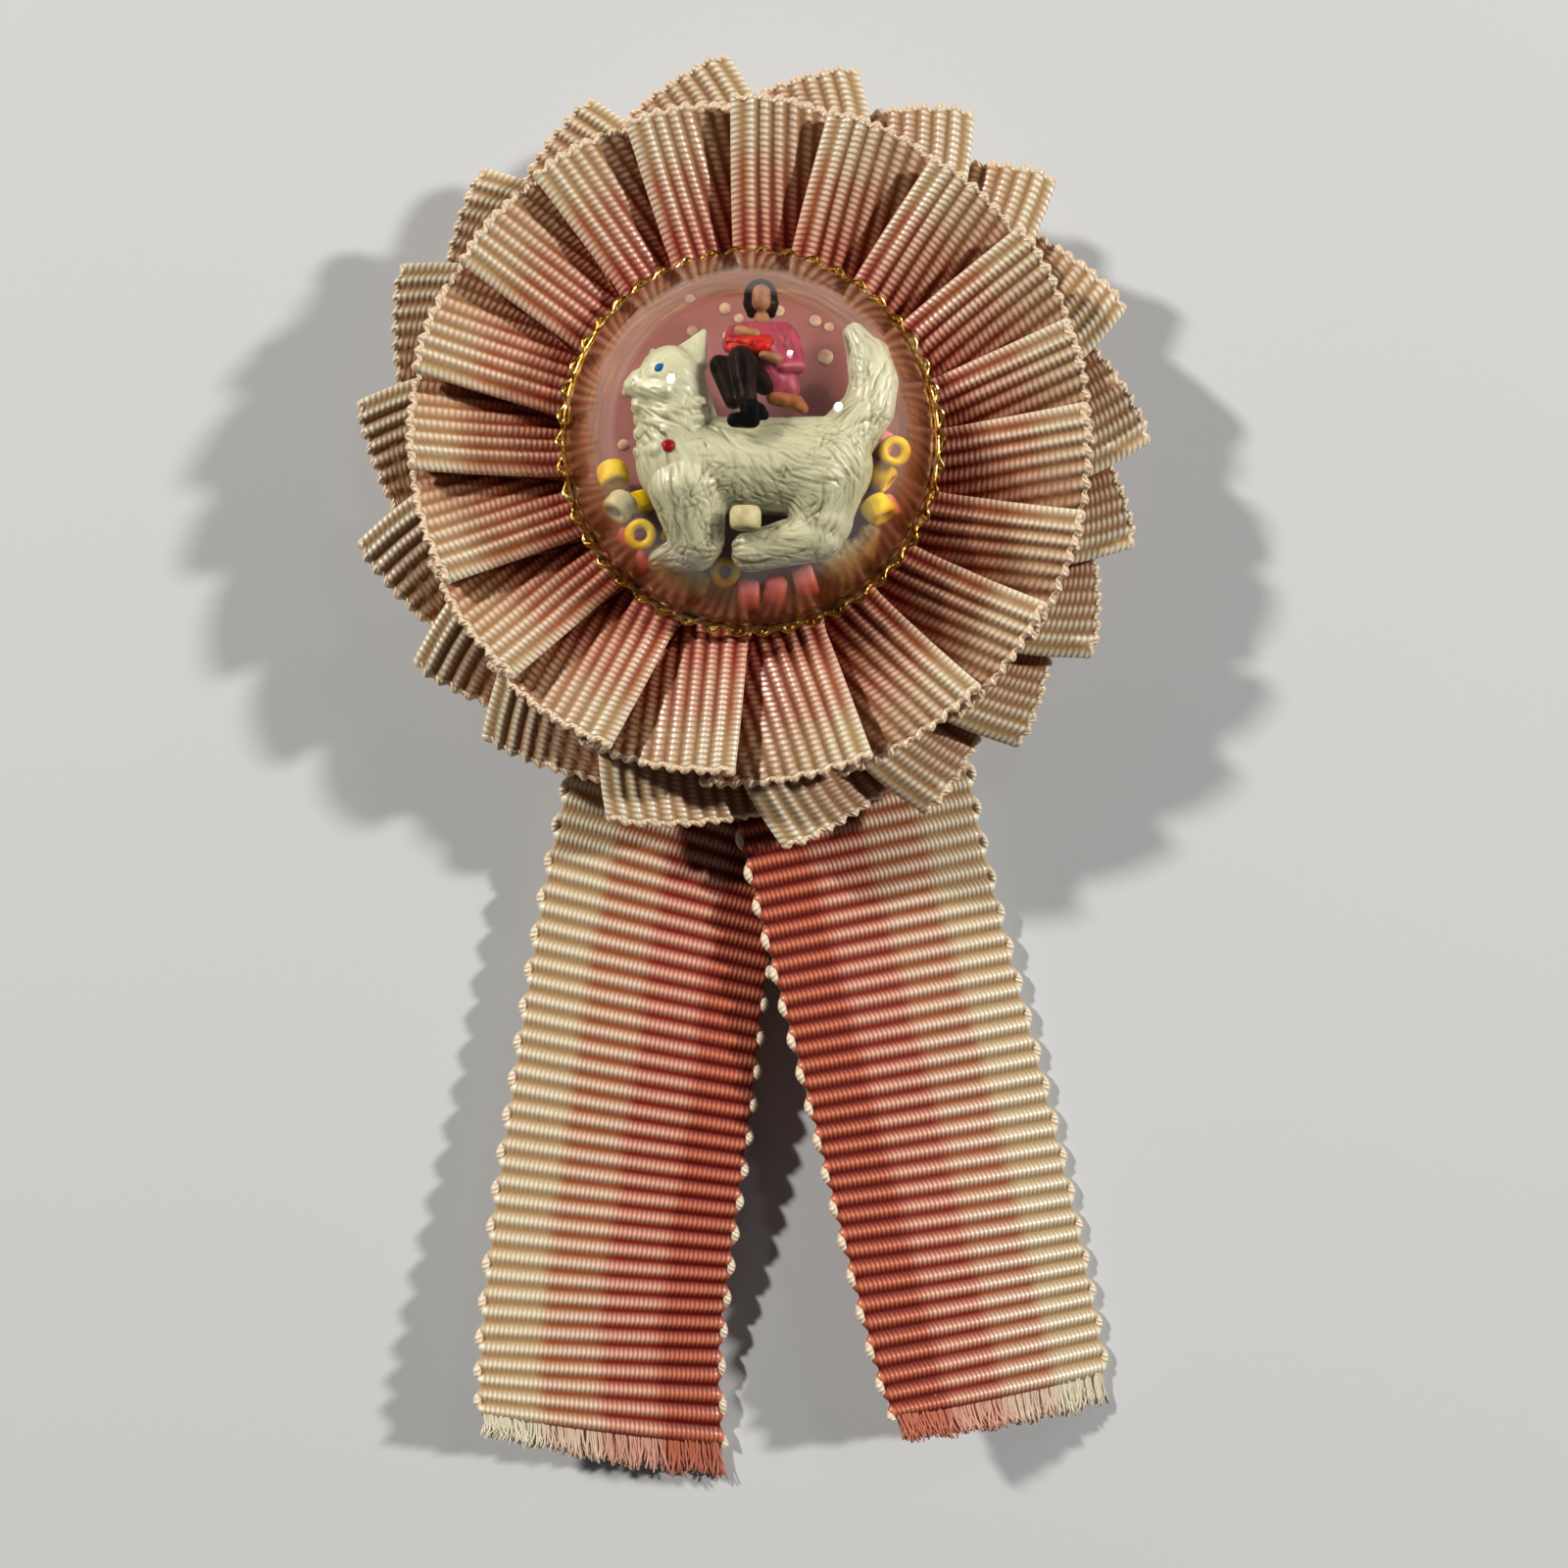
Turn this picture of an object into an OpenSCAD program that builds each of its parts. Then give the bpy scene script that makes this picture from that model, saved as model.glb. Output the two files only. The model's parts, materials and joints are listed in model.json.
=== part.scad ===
// A ribbon rosette brooch: a clear dome with a little scene in it, a gold scalloped trim,
// two rings of knife pleats in ribbed ribbon, two ribbon tails, a felt backing and a bar pin.
// It lies on its back. +Z is up, out of the dome, and +Y points away from the tails.

/* [Rosette] */
// Sideways place of the rosette's centre
rosette_x = -0.4; // [-0.6:0.1:-0.2]
// Place of the rosette's centre along the brooch
rosette_y = 28.4; // [28.2:0.1:28.6]
// Thickness of every cloth wall
cloth_t = 1; // [1:0.05:1.1]
// Radius of a fold, measured at the middle of the cloth
fold_r = 0.75; // [0.72:0.01:0.8]

/* [Dome] */
// Outer radius of the clear dome
dome_r = 14.7; // [14.65:0.05:14.75]
// Wall of the clear dome
dome_wall = 0.6; // [0.5:0.05:0.6]
// Height of the ball's centre that the dome is a cap of, above the table
dome_z = 13.2; // [13.1:0.05:13.3]
// Height of the dome's foot above the table
foot_z = 14; // [14:0.05:14.1]
// Thickness of the backdrop card
card_t = 0.7; // [0.5:0.05:0.7]

/* [Gold trim] */
// Height of the trim
trim_h = 1.1; // [0.8:0.05:1.2]
// Middle radius of the trim's scalloped edge
trim_r = 15.3; // [15.25:0.05:15.4]
// Depth of a scallop
scallop_d = 0.4; // [0.2:0.05:0.4]
// Number of scallops round the dome
scallops = 46; // [36:1:56]

/* [Beads] */
// Outer radius of a seed bead
bead_r = 1.2; // [1.1:0.05:1.2]
// Length of a seed bead
bead_l = 1.7; // [1.5:0.05:1.8]
// Radius of the thread hole in a bead
bead_hole_r = 0.45; // [0.35:0.05:0.5]

/* [Back] */
// Radius of the felt backing
backing_r = 16.5; // [16:0.1:16.5]
// Height of the felt's outer face above the table
backing_z = 5; // [4.9:0.1:5]
// Thickness of the felt under the tails
backing_t = 1; // [0.9:0.05:1]
// Height of the felt's front face, against the pleats
backing_top = 8.4; // [8.3:0.05:8.4]
// Length of the bar pin
pin_l = 31; // [28:0.5:32]
// Width of the bar pin's plate
pin_w = 5; // [4.5:0.1:5]
// Distance of the pin above the rosette's centre
pin_up = 7; // [6:0.5:8]
// Radius of the pin's wire
wire_r = 0.45; // [0.4:0.05:0.5]

/* [Hidden] */
$fn = 48;
seat_gap = 0.1;
centre = [rosette_x, rosette_y];
bead_names = [for (i = [1:17]) str("bead_", i < 10 ? "0" : "", i)];

// Front pleats, each a row of [angle of its fold at the rim, angle at the dome], in degrees
// clockwise from the top. Each fold lies on the pleat's anticlockwise side.
FRONT_FOLDS = [
    [14, 13], [33.5, 33], [52.4, 52], [69.8, 71], [84.3, 86], [102.8, 105], [119.6, 122.5],
    [137.4, 140], [159.3, 159], [183, 182], [204.6, 203.5], [224.9, 224], [244.7, 243],
    [265, 262], [281.5, 280], [301.4, 300], [320.8, 320.5], [338.8, 337.5], [357.2, 356]];

// Back pleats, each a row of [angle of its fold at the tip, radius of the tip], in the same
// degrees. Each fold lies on the pleat's clockwise side.
BACK_FOLDS = [
    [356.6, 32.3], [335.8, 31.5], [316.6, 31.6], [298.3, 32.3], [277.4, 32.4], [257.2, 32.9],
    [238.2, 32.4], [223.4, 32], [201.4, 32.1], [175.3, 32.5], [154.5, 32.8], [138, 32.4],
    [121.2, 32.3], [104.1, 31.9], [88.7, 32.4], [69.2, 32.8], [48.6, 33], [33.5, 32.9], [15.6, 32.3]];

// Stations from the inner selvedge to the outer one, each a row of [radius at the fold, drop of
// the radius at the valley, lean of the fold in degrees, share of the rim angles, height of the
// valley, height of the fold above it, underlap, swell of the top layer, 1 if it is pleated]
FRONT_STATIONS = [
    [8, 0, 0, 0, 10.6, 1.9, -1.5, 0, 0],
    [16, 0, 0, 0, 11.2, 1.9, -1.5, 0.1, 1],
    [19.5, 0, 0, 0.3, 11.7, 2.5, -0.4, 0.3, 1],
    [23, 0, 0, 0.65, 11.7, 3.4, 0.6, 0.5, 1],
    [26.6, -0.8, 0, 1, 11.6, 4.3, 1.6, 0.7, 1]];
BACK_STATIONS = [
    [12.5, 0, 11, 0, 9.4, 1.7, -1.5, 0, 0],
    [20, 0, 11, 0.2, 8.9, 1.7, -1.5, 0, 1],
    [25, 1, 8, 0.5, 8.4, 2.2, -0.7, 0.1, 1],
    [28.8, 2, 4, 0.8, 7.9, 2.6, -0.3, 0.2, 1],
    [32.4, 3.2, 0, 1, 7.4, 3.1, 0.6, 0.3, 1]];

// Tails, from the end under the rosette to the cut end. Each row is [x, y, z of the outer
// selvedge, x, y, z of the inner selvedge, rise of the middle above a straight rib]
TAIL_LEFT = [
    [-9.8, 21, 6.8, 9.2, 14.9, 6.8, 0],
    [-11.6, 15.5, 6.8, 7.5, 9.4, 6.2, 0.25],
    [-13.3, 10, 6.3, 5.8, 3.9, 4.2, 0.1],
    [-15.6, 3.4, 4.4, 3.4, -2.7, 3.2, 0.3],
    [-17.5, -4.5, 3.6, 1.6, -9.9, 3.2, 0.3],
    [-19.2, -13.4, 3.4, 0.2, -17.8, 3.5, 0.4],
    [-20.8, -24.3, 3.7, -0.9, -28, 3.4, 0.4],
    [-22.4, -35.7, 4.4, -2.4, -38.4, 2.7, 0.3],
    [-23.4, -47.5, 5.6, -3.6, -49.9, 1.4, 0.3],
    [-23.2, -54.7, 6.6, -3.1, -60.9, 0.6, 0.2]];
TAIL_RIGHT = [
    [13.6, 22.5, 7.95, -5.9, 18.2, 8, 0],
    [14.8, 17, 7.8, -4.7, 12.7, 7.85, 0.15],
    [16, 11.5, 7.3, -3.5, 7.2, 7.6, 0.05],
    [17.6, 4.6, 5, -2, 0.3, 6.4, 0.1],
    [19.2, -3.2, 2.3, -0.2, -7.2, 6.2, 0.2],
    [21.8, -13.3, 1.1, 2.2, -16.5, 6.8, 0.3],
    [24.8, -24.6, 0.7, 4.9, -26.8, 7.4, 0.4],
    [27.7, -36.7, 0.6, 7.6, -37.7, 7.8, 0.4],
    [30, -48.1, 0.6, 10.7, -49.4, 8, 0.3],
    [30.8, -54.3, 0.7, 12.8, -54.5, 8, 0.2]];
TAIL_STEPS = 20;
TAIL_COLUMNS = 4;

// Beads, each a row of [x, y from the dome's centre, height above the card, tilt, turn, colour]
BEADS = [
    [-10.6, -3.2, 2.2, 70, 20, "gold"],
    [-9.85, -5.85, 3.5, 60, -30, "ivory"],
    [-8.8, -5.3, 1.3, 90, 20, "gold"],
    [-9.1, -7.7, 1.35, 80, 60, "pink"],
    [-8.3, -8, 3.65, 15, 40, "gold"],
    [-7.6, -9.5, 1.25, 90, 10, "pink"],
    [-5.9, -7.4, 1.25, 90, 75, "gold"],
    [-0.2, -7.3, 6.8, 90, 0, "ivory"],
    [-1.9, -10.6, 1.1, 8, 0, "gold"],
    [-0.1, -12.3, 1.3, 90, 90, "pink"],
    [2, -12, 1.3, 90, 80, "pink"],
    [4.3, -11.3, 1.6, 85, 105, "pink"],
    [11.1, -1.6, 3.4, 12, 0, "gold"],
    [10.3, -3.2, 1.3, 80, 50, "gold"],
    [10.4, -5.7, 1.3, 80, 20, "pink"],
    [9.8, -6.1, 3.8, 75, 35, "gold"],
    [10.2, -0.6, 1.3, 75, 60, "pink"]];

card_z = foot_z + seat_gap / 2;
floor_z = card_z + card_t;

// The direction of the cloth from a valley up to the next fold, and from a fold down to a valley
function rise_angle(fold_h, underlap) =
    let (run = fold_r - underlap, up = fold_h - 2 * fold_r)
    atan2(up, run) + asin(2 * fold_r / norm([run, up]));
function fall_angle(pitch, fold_h, underlap) =
    let (run = pitch + underlap - fold_r, up = 2 * fold_r - fold_h)
    atan2(up, run) - asin(2 * fold_r / norm([run, up]));

// One pleat's centre line, as points of [along, up, share of the way to the valley, direction of
// the cloth]: an arc over the fold, the top layer, and an arc round the valley
ARC_STEPS = 3;
TOP_STEPS = 3;
PLEAT_POINTS = 2 * (ARC_STEPS + 1) + TOP_STEPS - 1;
function pleat_line(pitch, fold_h, underlap, swell) =
    let (rise = rise_angle(fold_h, underlap),
         fall = fall_angle(pitch, fold_h, underlap),
         fold_c = [fold_r, fold_h - fold_r],
         valley_c = [pitch + underlap, fold_r],
         leave = fold_c + fold_r * [-sin(fall), cos(fall)],
         land = valley_c - fold_r * [-sin(fall), cos(fall)])
    concat(
        [for (k = [0:ARC_STEPS])
            let (a = rise + (fall - rise) * k / ARC_STEPS, p = fold_c + fold_r * [-sin(a), cos(a)])
            [p.x, p.y, 0, a]],
        [for (k = [1:TOP_STEPS - 1])
            let (s = k / TOP_STEPS, p = leave + (land - leave) * s)
            [p.x, p.y + swell * sin(180 * s), s, fall]],
        [for (k = [0:ARC_STEPS])
            let (a = fall + (rise - fall) * k / ARC_STEPS, p = valley_c - fold_r * [-sin(a), cos(a)])
            [p.x, p.y, 1, a]]);

// Folds of a ring as [rim angle, inner angle, change of the rim's radius]
function front_folds() = [for (f = FRONT_FOLDS) [f[0], f[1], 0]];
function back_folds() =
    let (rim_r = BACK_STATIONS[len(BACK_STATIONS) - 1][0])
    [for (f = BACK_FOLDS) [f[0], f[0], f[1] - rim_r]];

// Points of one face of a ring of pleats at one station. turn is 1 where the pleats run
// clockwise from their folds and -1 where they run the other way, and side is 1 above, -1 below
function ring_points(folds, station, first_wave, turn, side) =
    let (n = len(folds), share = station[3], wave_r = max(station[0], first_wave))
    [for (i = [0:n - 1])
        let (f = folds[i],
             g = folds[(i + 1) % n],
             here = f[1] + (f[0] - f[1]) * share + station[2],
             next = g[1] + (g[0] - g[1]) * share + station[2],
             gap = ((next - here) * turn + 720) % 360,
             pitch = gap * PI / 180 * wave_r)
        for (q = pleat_line(pitch, station[5], station[6], station[7]))
            let (across = station[8] * -sin(q[3]) * side * cloth_t / 2,
                 up = (station[8] ? cos(q[3]) : 1) * side * cloth_t / 2,
                 angle = here + turn * (q[0] + across) / wave_r * 180 / PI,
                 r = station[0] - station[1] * q[2] + f[2] * share * share * (1 - q[2]))
            [rosette_x + r * sin(angle), rosette_y + r * cos(angle),
             station[4] + station[8] * q[1] + up]];

// Two triangles for the four corners a, b, c, d of a cell
function cell(a, b, c, d, flip) = flip ? [[c, b, a], [d, c, a]] : [[a, b, c], [a, c, d]];

// A ring of pleats as one closed wall
module pleated_ring(folds, stations, turn) {
    n = len(folds) * PLEAT_POINTS;
    m = len(stations);
    flip = turn < 0;
    first_wave = stations[1][0];
    points = [for (side = [1, -1]) for (s = stations)
        each ring_points(folds, s, first_wave, turn, side)];
    low = n * m;
    faces = concat(
        [for (j = [0:m - 2]) for (i = [0:n - 1])
            let (k = (i + 1) % n)
            each cell(j * n + i, j * n + k, (j + 1) * n + k, (j + 1) * n + i, !flip)],
        [for (j = [0:m - 2]) for (i = [0:n - 1])
            let (k = (i + 1) % n)
            each cell(low + j * n + i, low + j * n + k, low + (j + 1) * n + k,
                      low + (j + 1) * n + i, flip)],
        [for (i = [0:n - 1])
            let (k = (i + 1) % n)
            each cell(i, k, low + k, low + i, flip)],
        [for (i = [0:n - 1])
            let (k = (i + 1) % n, e = (m - 1) * n)
            each cell(e + i, e + k, low + e + k, low + e + i, !flip)]);
    polyhedron(points = points, faces = faces);
}

module front_ruffle() {
    color("lightsalmon")
        pleated_ring(front_folds(), FRONT_STATIONS, 1);
}

module back_ruffle() {
    color("peachpuff")
        pleated_ring(back_folds(), BACK_STATIONS, -1);
}

// A smooth curve through the rows of a table, at t from 0 to the number of spans
function row_at(table, t) =
    let (last = len(table) - 1,
         i = min(floor(t), last - 1),
         s = t - i,
         a = table[max(i - 1, 0)],
         b = table[i],
         c = table[i + 1],
         d = table[min(i + 2, last)])
    0.5 * (2 * b + (c - a) * s + (2 * a - 5 * b + 4 * c - d) * s * s
           + (3 * b - a - 3 * c + d) * s * s * s);

// A point of a tail's middle surface, w from 0 at the outer selvedge to 1 at the inner one
function tail_point(table, t, w) =
    let (r = row_at(table, t),
         out = [r[0], r[1], r[2]],
         in = [r[3], r[4], r[5]],
         p = out + (in - out) * w)
    p + [0, 0, 4 * r[6] * w * (1 - w)];
function unit(v) = v / norm(v);
function tail_normal(table, t, w) =
    let (e = 0.02,
         last = len(table) - 1,
         along = tail_point(table, min(t + e, last), w) - tail_point(table, max(t - e, 0), w),
         across = tail_point(table, t, min(w + e, 1)) - tail_point(table, t, max(w - e, 0)),
         n = unit(cross(along, across)))
    n.z < 0 ? -n : n;

// A ribbon tail as one closed wall
module tail(table) {
    m = TAIL_COLUMNS + 1;
    n = TAIL_STEPS + 1;
    spans = len(table) - 1;
    points = [for (side = [1, -1]) for (j = [0:TAIL_STEPS]) for (i = [0:TAIL_COLUMNS])
        let (t = j * spans / TAIL_STEPS, w = i / TAIL_COLUMNS)
        tail_point(table, t, w) + tail_normal(table, t, w) * side * cloth_t / 2];
    low = m * n;
    flip = cross(tail_point(table, 1, 1) - tail_point(table, 1, 0),
                 tail_point(table, 2, 0) - tail_point(table, 1, 0)).z > 0;
    faces = concat(
        [for (j = [0:n - 2]) for (i = [0:m - 2])
            each cell(j * m + i, j * m + i + 1, (j + 1) * m + i + 1, (j + 1) * m + i, flip)],
        [for (j = [0:n - 2]) for (i = [0:m - 2])
            each cell(low + j * m + i, low + j * m + i + 1, low + (j + 1) * m + i + 1,
                      low + (j + 1) * m + i, !flip)],
        [for (j = [0:n - 2]) each cell(j * m, (j + 1) * m, low + (j + 1) * m, low + j * m, flip)],
        [for (j = [0:n - 2])
            let (a = j * m + m - 1, b = a + m)
            each cell(a, b, low + b, low + a, !flip)],
        [for (i = [0:m - 2]) each cell(i, i + 1, low + i + 1, low + i, !flip)],
        [for (i = [0:m - 2])
            let (a = (n - 1) * m + i)
            each cell(a, a + 1, low + a + 1, low + a, flip)]);
    polyhedron(points = points, faces = faces);
}

module tail_left() {
    color("salmon")
        tail(TAIL_LEFT);
}

module tail_right() {
    color("darksalmon")
        tail(TAIL_RIGHT);
}

// Clear dome: the cap of a hollow ball, cut off level at its foot
module dome() {
    color("lightcyan", 0.4)
        translate([rosette_x, rosette_y, 0])
            intersection() {
                translate([0, 0, dome_z])
                    difference() {
                        sphere(r = dome_r);
                        sphere(r = dome_r - dome_wall);
                    }
                translate([0, 0, foot_z])
                    cylinder(r = 2 * dome_r, h = 2 * dome_r);
            }
}

// Scalloped outline of the trim
function scallop_line() =
    [for (i = [0:scallops * 6 - 1])
        let (a = 360 * i / (scallops * 6), r = trim_r + scallop_d / 2 * cos(a * scallops))
        [r * cos(a), r * sin(a)]];

module gold_trim() {
    color("gold")
        translate([rosette_x, rosette_y, foot_z - trim_h / 4])
            linear_extrude(height = trim_h)
                difference() {
                    polygon(scallop_line());
                    circle(r = dome_r + seat_gap, $fn = 180);
                }
}

module backdrop() {
    color("plum")
        translate([rosette_x, rosette_y, card_z])
            cylinder(r = dome_r - dome_wall - 2 * seat_gap, h = card_t);
}

// A rounded limb between two balls, each given as [x, y, z, radius] from the dome's centre on
// the card
module limb(a, b, sides) {
    hull() {
        for (p = [a, b])
            translate([p[0], p[1], p[2]])
                sphere(r = p[3], $fn = sides);
    }
}

module in_dome() {
    translate([rosette_x, rosette_y, floor_z])
        children();
}

// Cat figurine in profile, lying against the card, its head to the left and its tail up
module cat() {
    color("ivory")
        in_dome() {
            limb([-5, -2.6, 3.7, 3.6], [0.3, -2.9, 3.8, 3.6], 12);
            limb([0.3, -2.9, 3.8, 3.6], [5.6, -2.9, 3.9, 3.7], 12);
            limb([-5, -2.6, 3.7, 3.6], [-5.6, 1.2, 4.4, 2.9], 12);
            limb([-5.6, 1.2, 4.4, 2.9], [-5.8, 3.4, 5.2, 2.5], 12);
            limb([-6, 3.3, 5.2, 2.2], [-8.2, 2.7, 5.7, 1.2], 12);
            limb([-4.5, 5, 5.3, 1.2], [-3.45, 7.05, 5.2, 0.3], 12);
            limb([-6.9, 4.9, 4.2, 0.8], [-7.3, 5.9, 3.8, 0.3], 12);
            limb([-4.6, -4.8, 4.8, 3], [-3.8, -8.9, 4.4, 1.9], 12);
            limb([-4, -9.2, 4.2, 1.6], [-6.8, -9.9, 3.4, 0.85], 12);
            limb([5.4, -4.5, 4.2, 3.4], [5.4, -7.2, 4.4, 2.3], 12);
            limb([5.2, -8.4, 4.6, 1.9], [0.1, -9.5, 4.7, 1.5], 12);
            limb([7.3, -0.9, 4.1, 2.3], [9.1, 1.4, 4.1, 1.95], 12);
            limb([9.1, 1.4, 4.1, 1.95], [9.4, 4, 4.1, 1.8], 12);
            limb([9.4, 4, 4.1, 1.8], [8, 7.2, 4.1, 0.85], 12);
        }
}

// Little seated rider with a plain blank face, facing out of the dome
module rider() {
    color("hotpink")
        in_dome() {
            limb([0.7, 9.8, 5, 1.25], [0.7, 9.4, 5, 1.15], 10);
            limb([0.7, 9.9, 4.4, 1.5], [0.7, 9.2, 4.3, 1.3], 10);
            limb([0.7, 8.4, 4.8, 0.7], [0.9, 7.3, 4.7, 1.2], 8);
            limb([-0.6, 7, 4.7, 1], [2.6, 6.8, 4.7, 1], 8);
            limb([0.9, 6.6, 4.7, 1.7], [1.6, 3.9, 4.8, 1.7], 8);
            limb([3, 6.6, 4.7, 0.8], [3.2, 4.1, 5, 0.8], 8);
            limb([3.2, 4.1, 5, 0.8], [0.9, 4.7, 6.6, 0.7], 8);
            limb([-1.1, 6.8, 4.7, 0.8], [-1.1, 5.3, 6, 0.8], 8);
            limb([-1.4, 5.4, 6.5, 0.7], [1.1, 5.2, 6.9, 0.7], 8);
            limb([2.4, 2, 5.6, 1.4], [-1, 3.7, 7.3, 1.25], 8);
            limb([-1, 3.7, 7.5, 1.2], [-0.4, 0.6, 8.1, 1], 8);
            limb([-0.1, -0.3, 8.2, 0.85], [-1, -0.4, 8.6, 0.65], 8);
        }
}

// Rough white lump that the cat's feet stand on, clear of the dome's wall
module plinth(corners) {
    color("white")
        in_dome()
            hull() {
                for (c = corners)
                    translate([c[0], c[1], c[2] + seat_gap / 2])
                        sphere(r = c[2], $fn = 10);
            }
}

module plinth_left() {
    plinth([[-5.6, -11.2, 1], [-4.2, -11.7, 1.1]]);
}

module plinth_right() {
    plinth([[5.6, -9.2, 1.2], [6.9, -10.6, 1], [8.8, -9, 1], [9.3, -7.6, 0.9]]);
}

// Half section of a seed bead, from its thread hole to its round side
function bead_section() =
    [[bead_hole_r, -bead_l * 0.42], [bead_r * 0.72, -bead_l / 2], [bead_r, -bead_l * 0.24],
     [bead_r, bead_l * 0.24], [bead_r * 0.72, bead_l / 2], [bead_hole_r, bead_l * 0.42]];

module bead(row) {
    color(row[5])
        in_dome()
            translate([row[0], row[1], row[2]])
                rotate([row[3], 0, row[4]])
                    rotate_extrude()
                        polygon(bead_section());
}

// Felt backing: a pad with a hollow for the tails' ends and a shallow seat for the pin's plate
module backing() {
    slot_w = 42;
    slot_top = 23.4;
    reach = 2 * backing_r;
    plate_seat = 0.6;
    color("linen")
        difference() {
            translate([rosette_x, rosette_y, backing_z])
                cylinder(r = backing_r, h = backing_top - backing_z, $fn = 96);
            translate([rosette_x - slot_w / 2, rosette_y - reach, backing_z + backing_t])
                cube([slot_w, reach + slot_top - rosette_y, reach]);
            translate([rosette_x - pin_l / 2 - seat_gap, rosette_y + pin_up - pin_w / 2 - seat_gap,
                       backing_z - 1])
                cube([pin_l + 2 * seat_gap, pin_w + 2 * seat_gap, 1 + plate_seat]);
        }
}

// Bar pin: plate, knuckle post, catch post and wire, in one piece
module brooch_pin() {
    plate_top = backing_z + 0.55;
    plate_t = 0.8;
    post_l = 2.6;
    post_w = 3.4;
    post_x = pin_l / 2 - 1.2 - post_l;
    wire_z = 1.5;
    knuckle_r = 1.5;
    color("silver")
        translate([rosette_x, rosette_y + pin_up, 0]) {
            translate([-pin_l / 2, -pin_w / 2, plate_top - plate_t])
                cube([pin_l, pin_w, plate_t]);
            translate([post_x, -post_w / 2, 0])
                cube([post_l, post_w, plate_top - plate_t + 0.1]);
            translate([-post_x - post_l, -post_w / 2, knuckle_r])
                cube([post_l, post_w, plate_top - plate_t - knuckle_r + 0.1]);
            translate([-post_x - post_l / 2, post_w / 2, knuckle_r])
                rotate([90, 0, 0])
                    cylinder(r = knuckle_r, h = post_w);
            translate([-post_x - post_l / 2, 0, wire_z])
                rotate([0, 90, 0])
                    cylinder(r = wire_r, h = 2 * post_x + post_l, $fn = 24);
        }
}

dome();
gold_trim();
backdrop();
cat();
rider();
plinth_left();
plinth_right();
front_ruffle();
back_ruffle();
tail_left();
tail_right();
backing();
brooch_pin();
for (i = [0:len(BEADS) - 1])
    bead(BEADS[i]);
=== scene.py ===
from functools import partial
import json
import math
import bpy
import numpy as np
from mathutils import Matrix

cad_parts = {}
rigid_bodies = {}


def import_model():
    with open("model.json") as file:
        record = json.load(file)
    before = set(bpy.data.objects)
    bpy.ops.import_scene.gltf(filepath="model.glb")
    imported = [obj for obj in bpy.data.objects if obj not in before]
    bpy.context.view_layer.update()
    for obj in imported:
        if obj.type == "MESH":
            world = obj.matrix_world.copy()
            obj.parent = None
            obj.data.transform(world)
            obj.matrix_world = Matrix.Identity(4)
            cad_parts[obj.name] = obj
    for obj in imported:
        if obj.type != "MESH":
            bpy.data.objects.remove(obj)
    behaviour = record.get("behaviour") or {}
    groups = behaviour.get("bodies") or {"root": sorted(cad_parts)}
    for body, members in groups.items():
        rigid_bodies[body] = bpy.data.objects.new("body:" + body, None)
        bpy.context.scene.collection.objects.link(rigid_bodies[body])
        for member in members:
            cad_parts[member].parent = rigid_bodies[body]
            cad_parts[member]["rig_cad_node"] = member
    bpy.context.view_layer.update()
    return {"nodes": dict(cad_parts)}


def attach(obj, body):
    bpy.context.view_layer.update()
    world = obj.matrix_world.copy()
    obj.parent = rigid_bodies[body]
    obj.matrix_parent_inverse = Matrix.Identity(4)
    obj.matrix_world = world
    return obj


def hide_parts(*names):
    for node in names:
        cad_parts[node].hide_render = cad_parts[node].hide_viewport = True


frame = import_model()
mm = 0.001
rng = np.random.default_rng(11)
centre = np.array([-0.4, 28.4])  # the rosette's centre, in mm
cardTop = 14.75
onCard = np.array([*centre, cardTop])  # the scene under the dome is placed from here
print("frame loaded:", len(frame["nodes"]), "nodes")


# small helpers for meshes

# quads between neighbouring points of a rows x cols grid, closed round either way if asked
def gridQuads(rows, cols, closeRows=False, closeCols=False):
    i = np.arange(rows if closeRows else rows - 1)[:, None]
    j = np.arange(cols if closeCols else cols - 1)[None, :]
    ii, jj = (i + 1) % rows, (j + 1) % cols
    return np.stack([i * cols + j, i * cols + jj, ii * cols + jj, ii * cols + j], -1).reshape(-1, 4)


def unit(v):
    return v / np.maximum(np.linalg.norm(v, axis=-1, keepdims=True), 1e-9)


def smoothStep(x, low=0.0, high=1.0):
    t = np.clip((x - low) / (high - low), 0, 1)
    return t * t * (3 - 2 * t)


# a Catmull-Rom curve through the rows of a table, at the places t counted in rows
def alongRows(table, t):
    table = np.asarray(table, float)
    last = len(table) - 1
    i = np.clip(np.floor(t).astype(int), 0, last - 1)
    s = (t - i)[:, None]
    a, b = table[np.maximum(i - 1, 0)], table[i]
    c, d = table[i + 1], table[np.minimum(i + 2, last)]
    return 0.5 * (2 * b + (c - a) * s + (2 * a - 5 * b + 4 * c - d) * s**2
                  + (3 * b - a - 3 * c + d) * s**3)


# triangles that close a ring of points, the first of which is first, with a pole; turned swaps
# their side
def fan(pole, first, count, turned=False):
    ring = np.arange(count) + first
    after = np.roll(ring, -1)
    pair = (after, ring) if turned else (ring, after)
    return np.stack([np.full(count, pole), *pair], -1).tolist()


# points turned by an angle in the plane of two of their columns
def turnedPoints(points, degrees, first=0, second=1):
    c, s = math.cos(math.radians(degrees)), math.sin(math.radians(degrees))
    moved = points.copy()
    moved[:, first] = points[:, first] * c - points[:, second] * s
    moved[:, second] = points[:, first] * s + points[:, second] * c
    return moved


def newObject(name, data):
    obj = bpy.data.objects.new(name, data)
    bpy.context.collection.objects.link(obj)
    return obj


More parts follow.
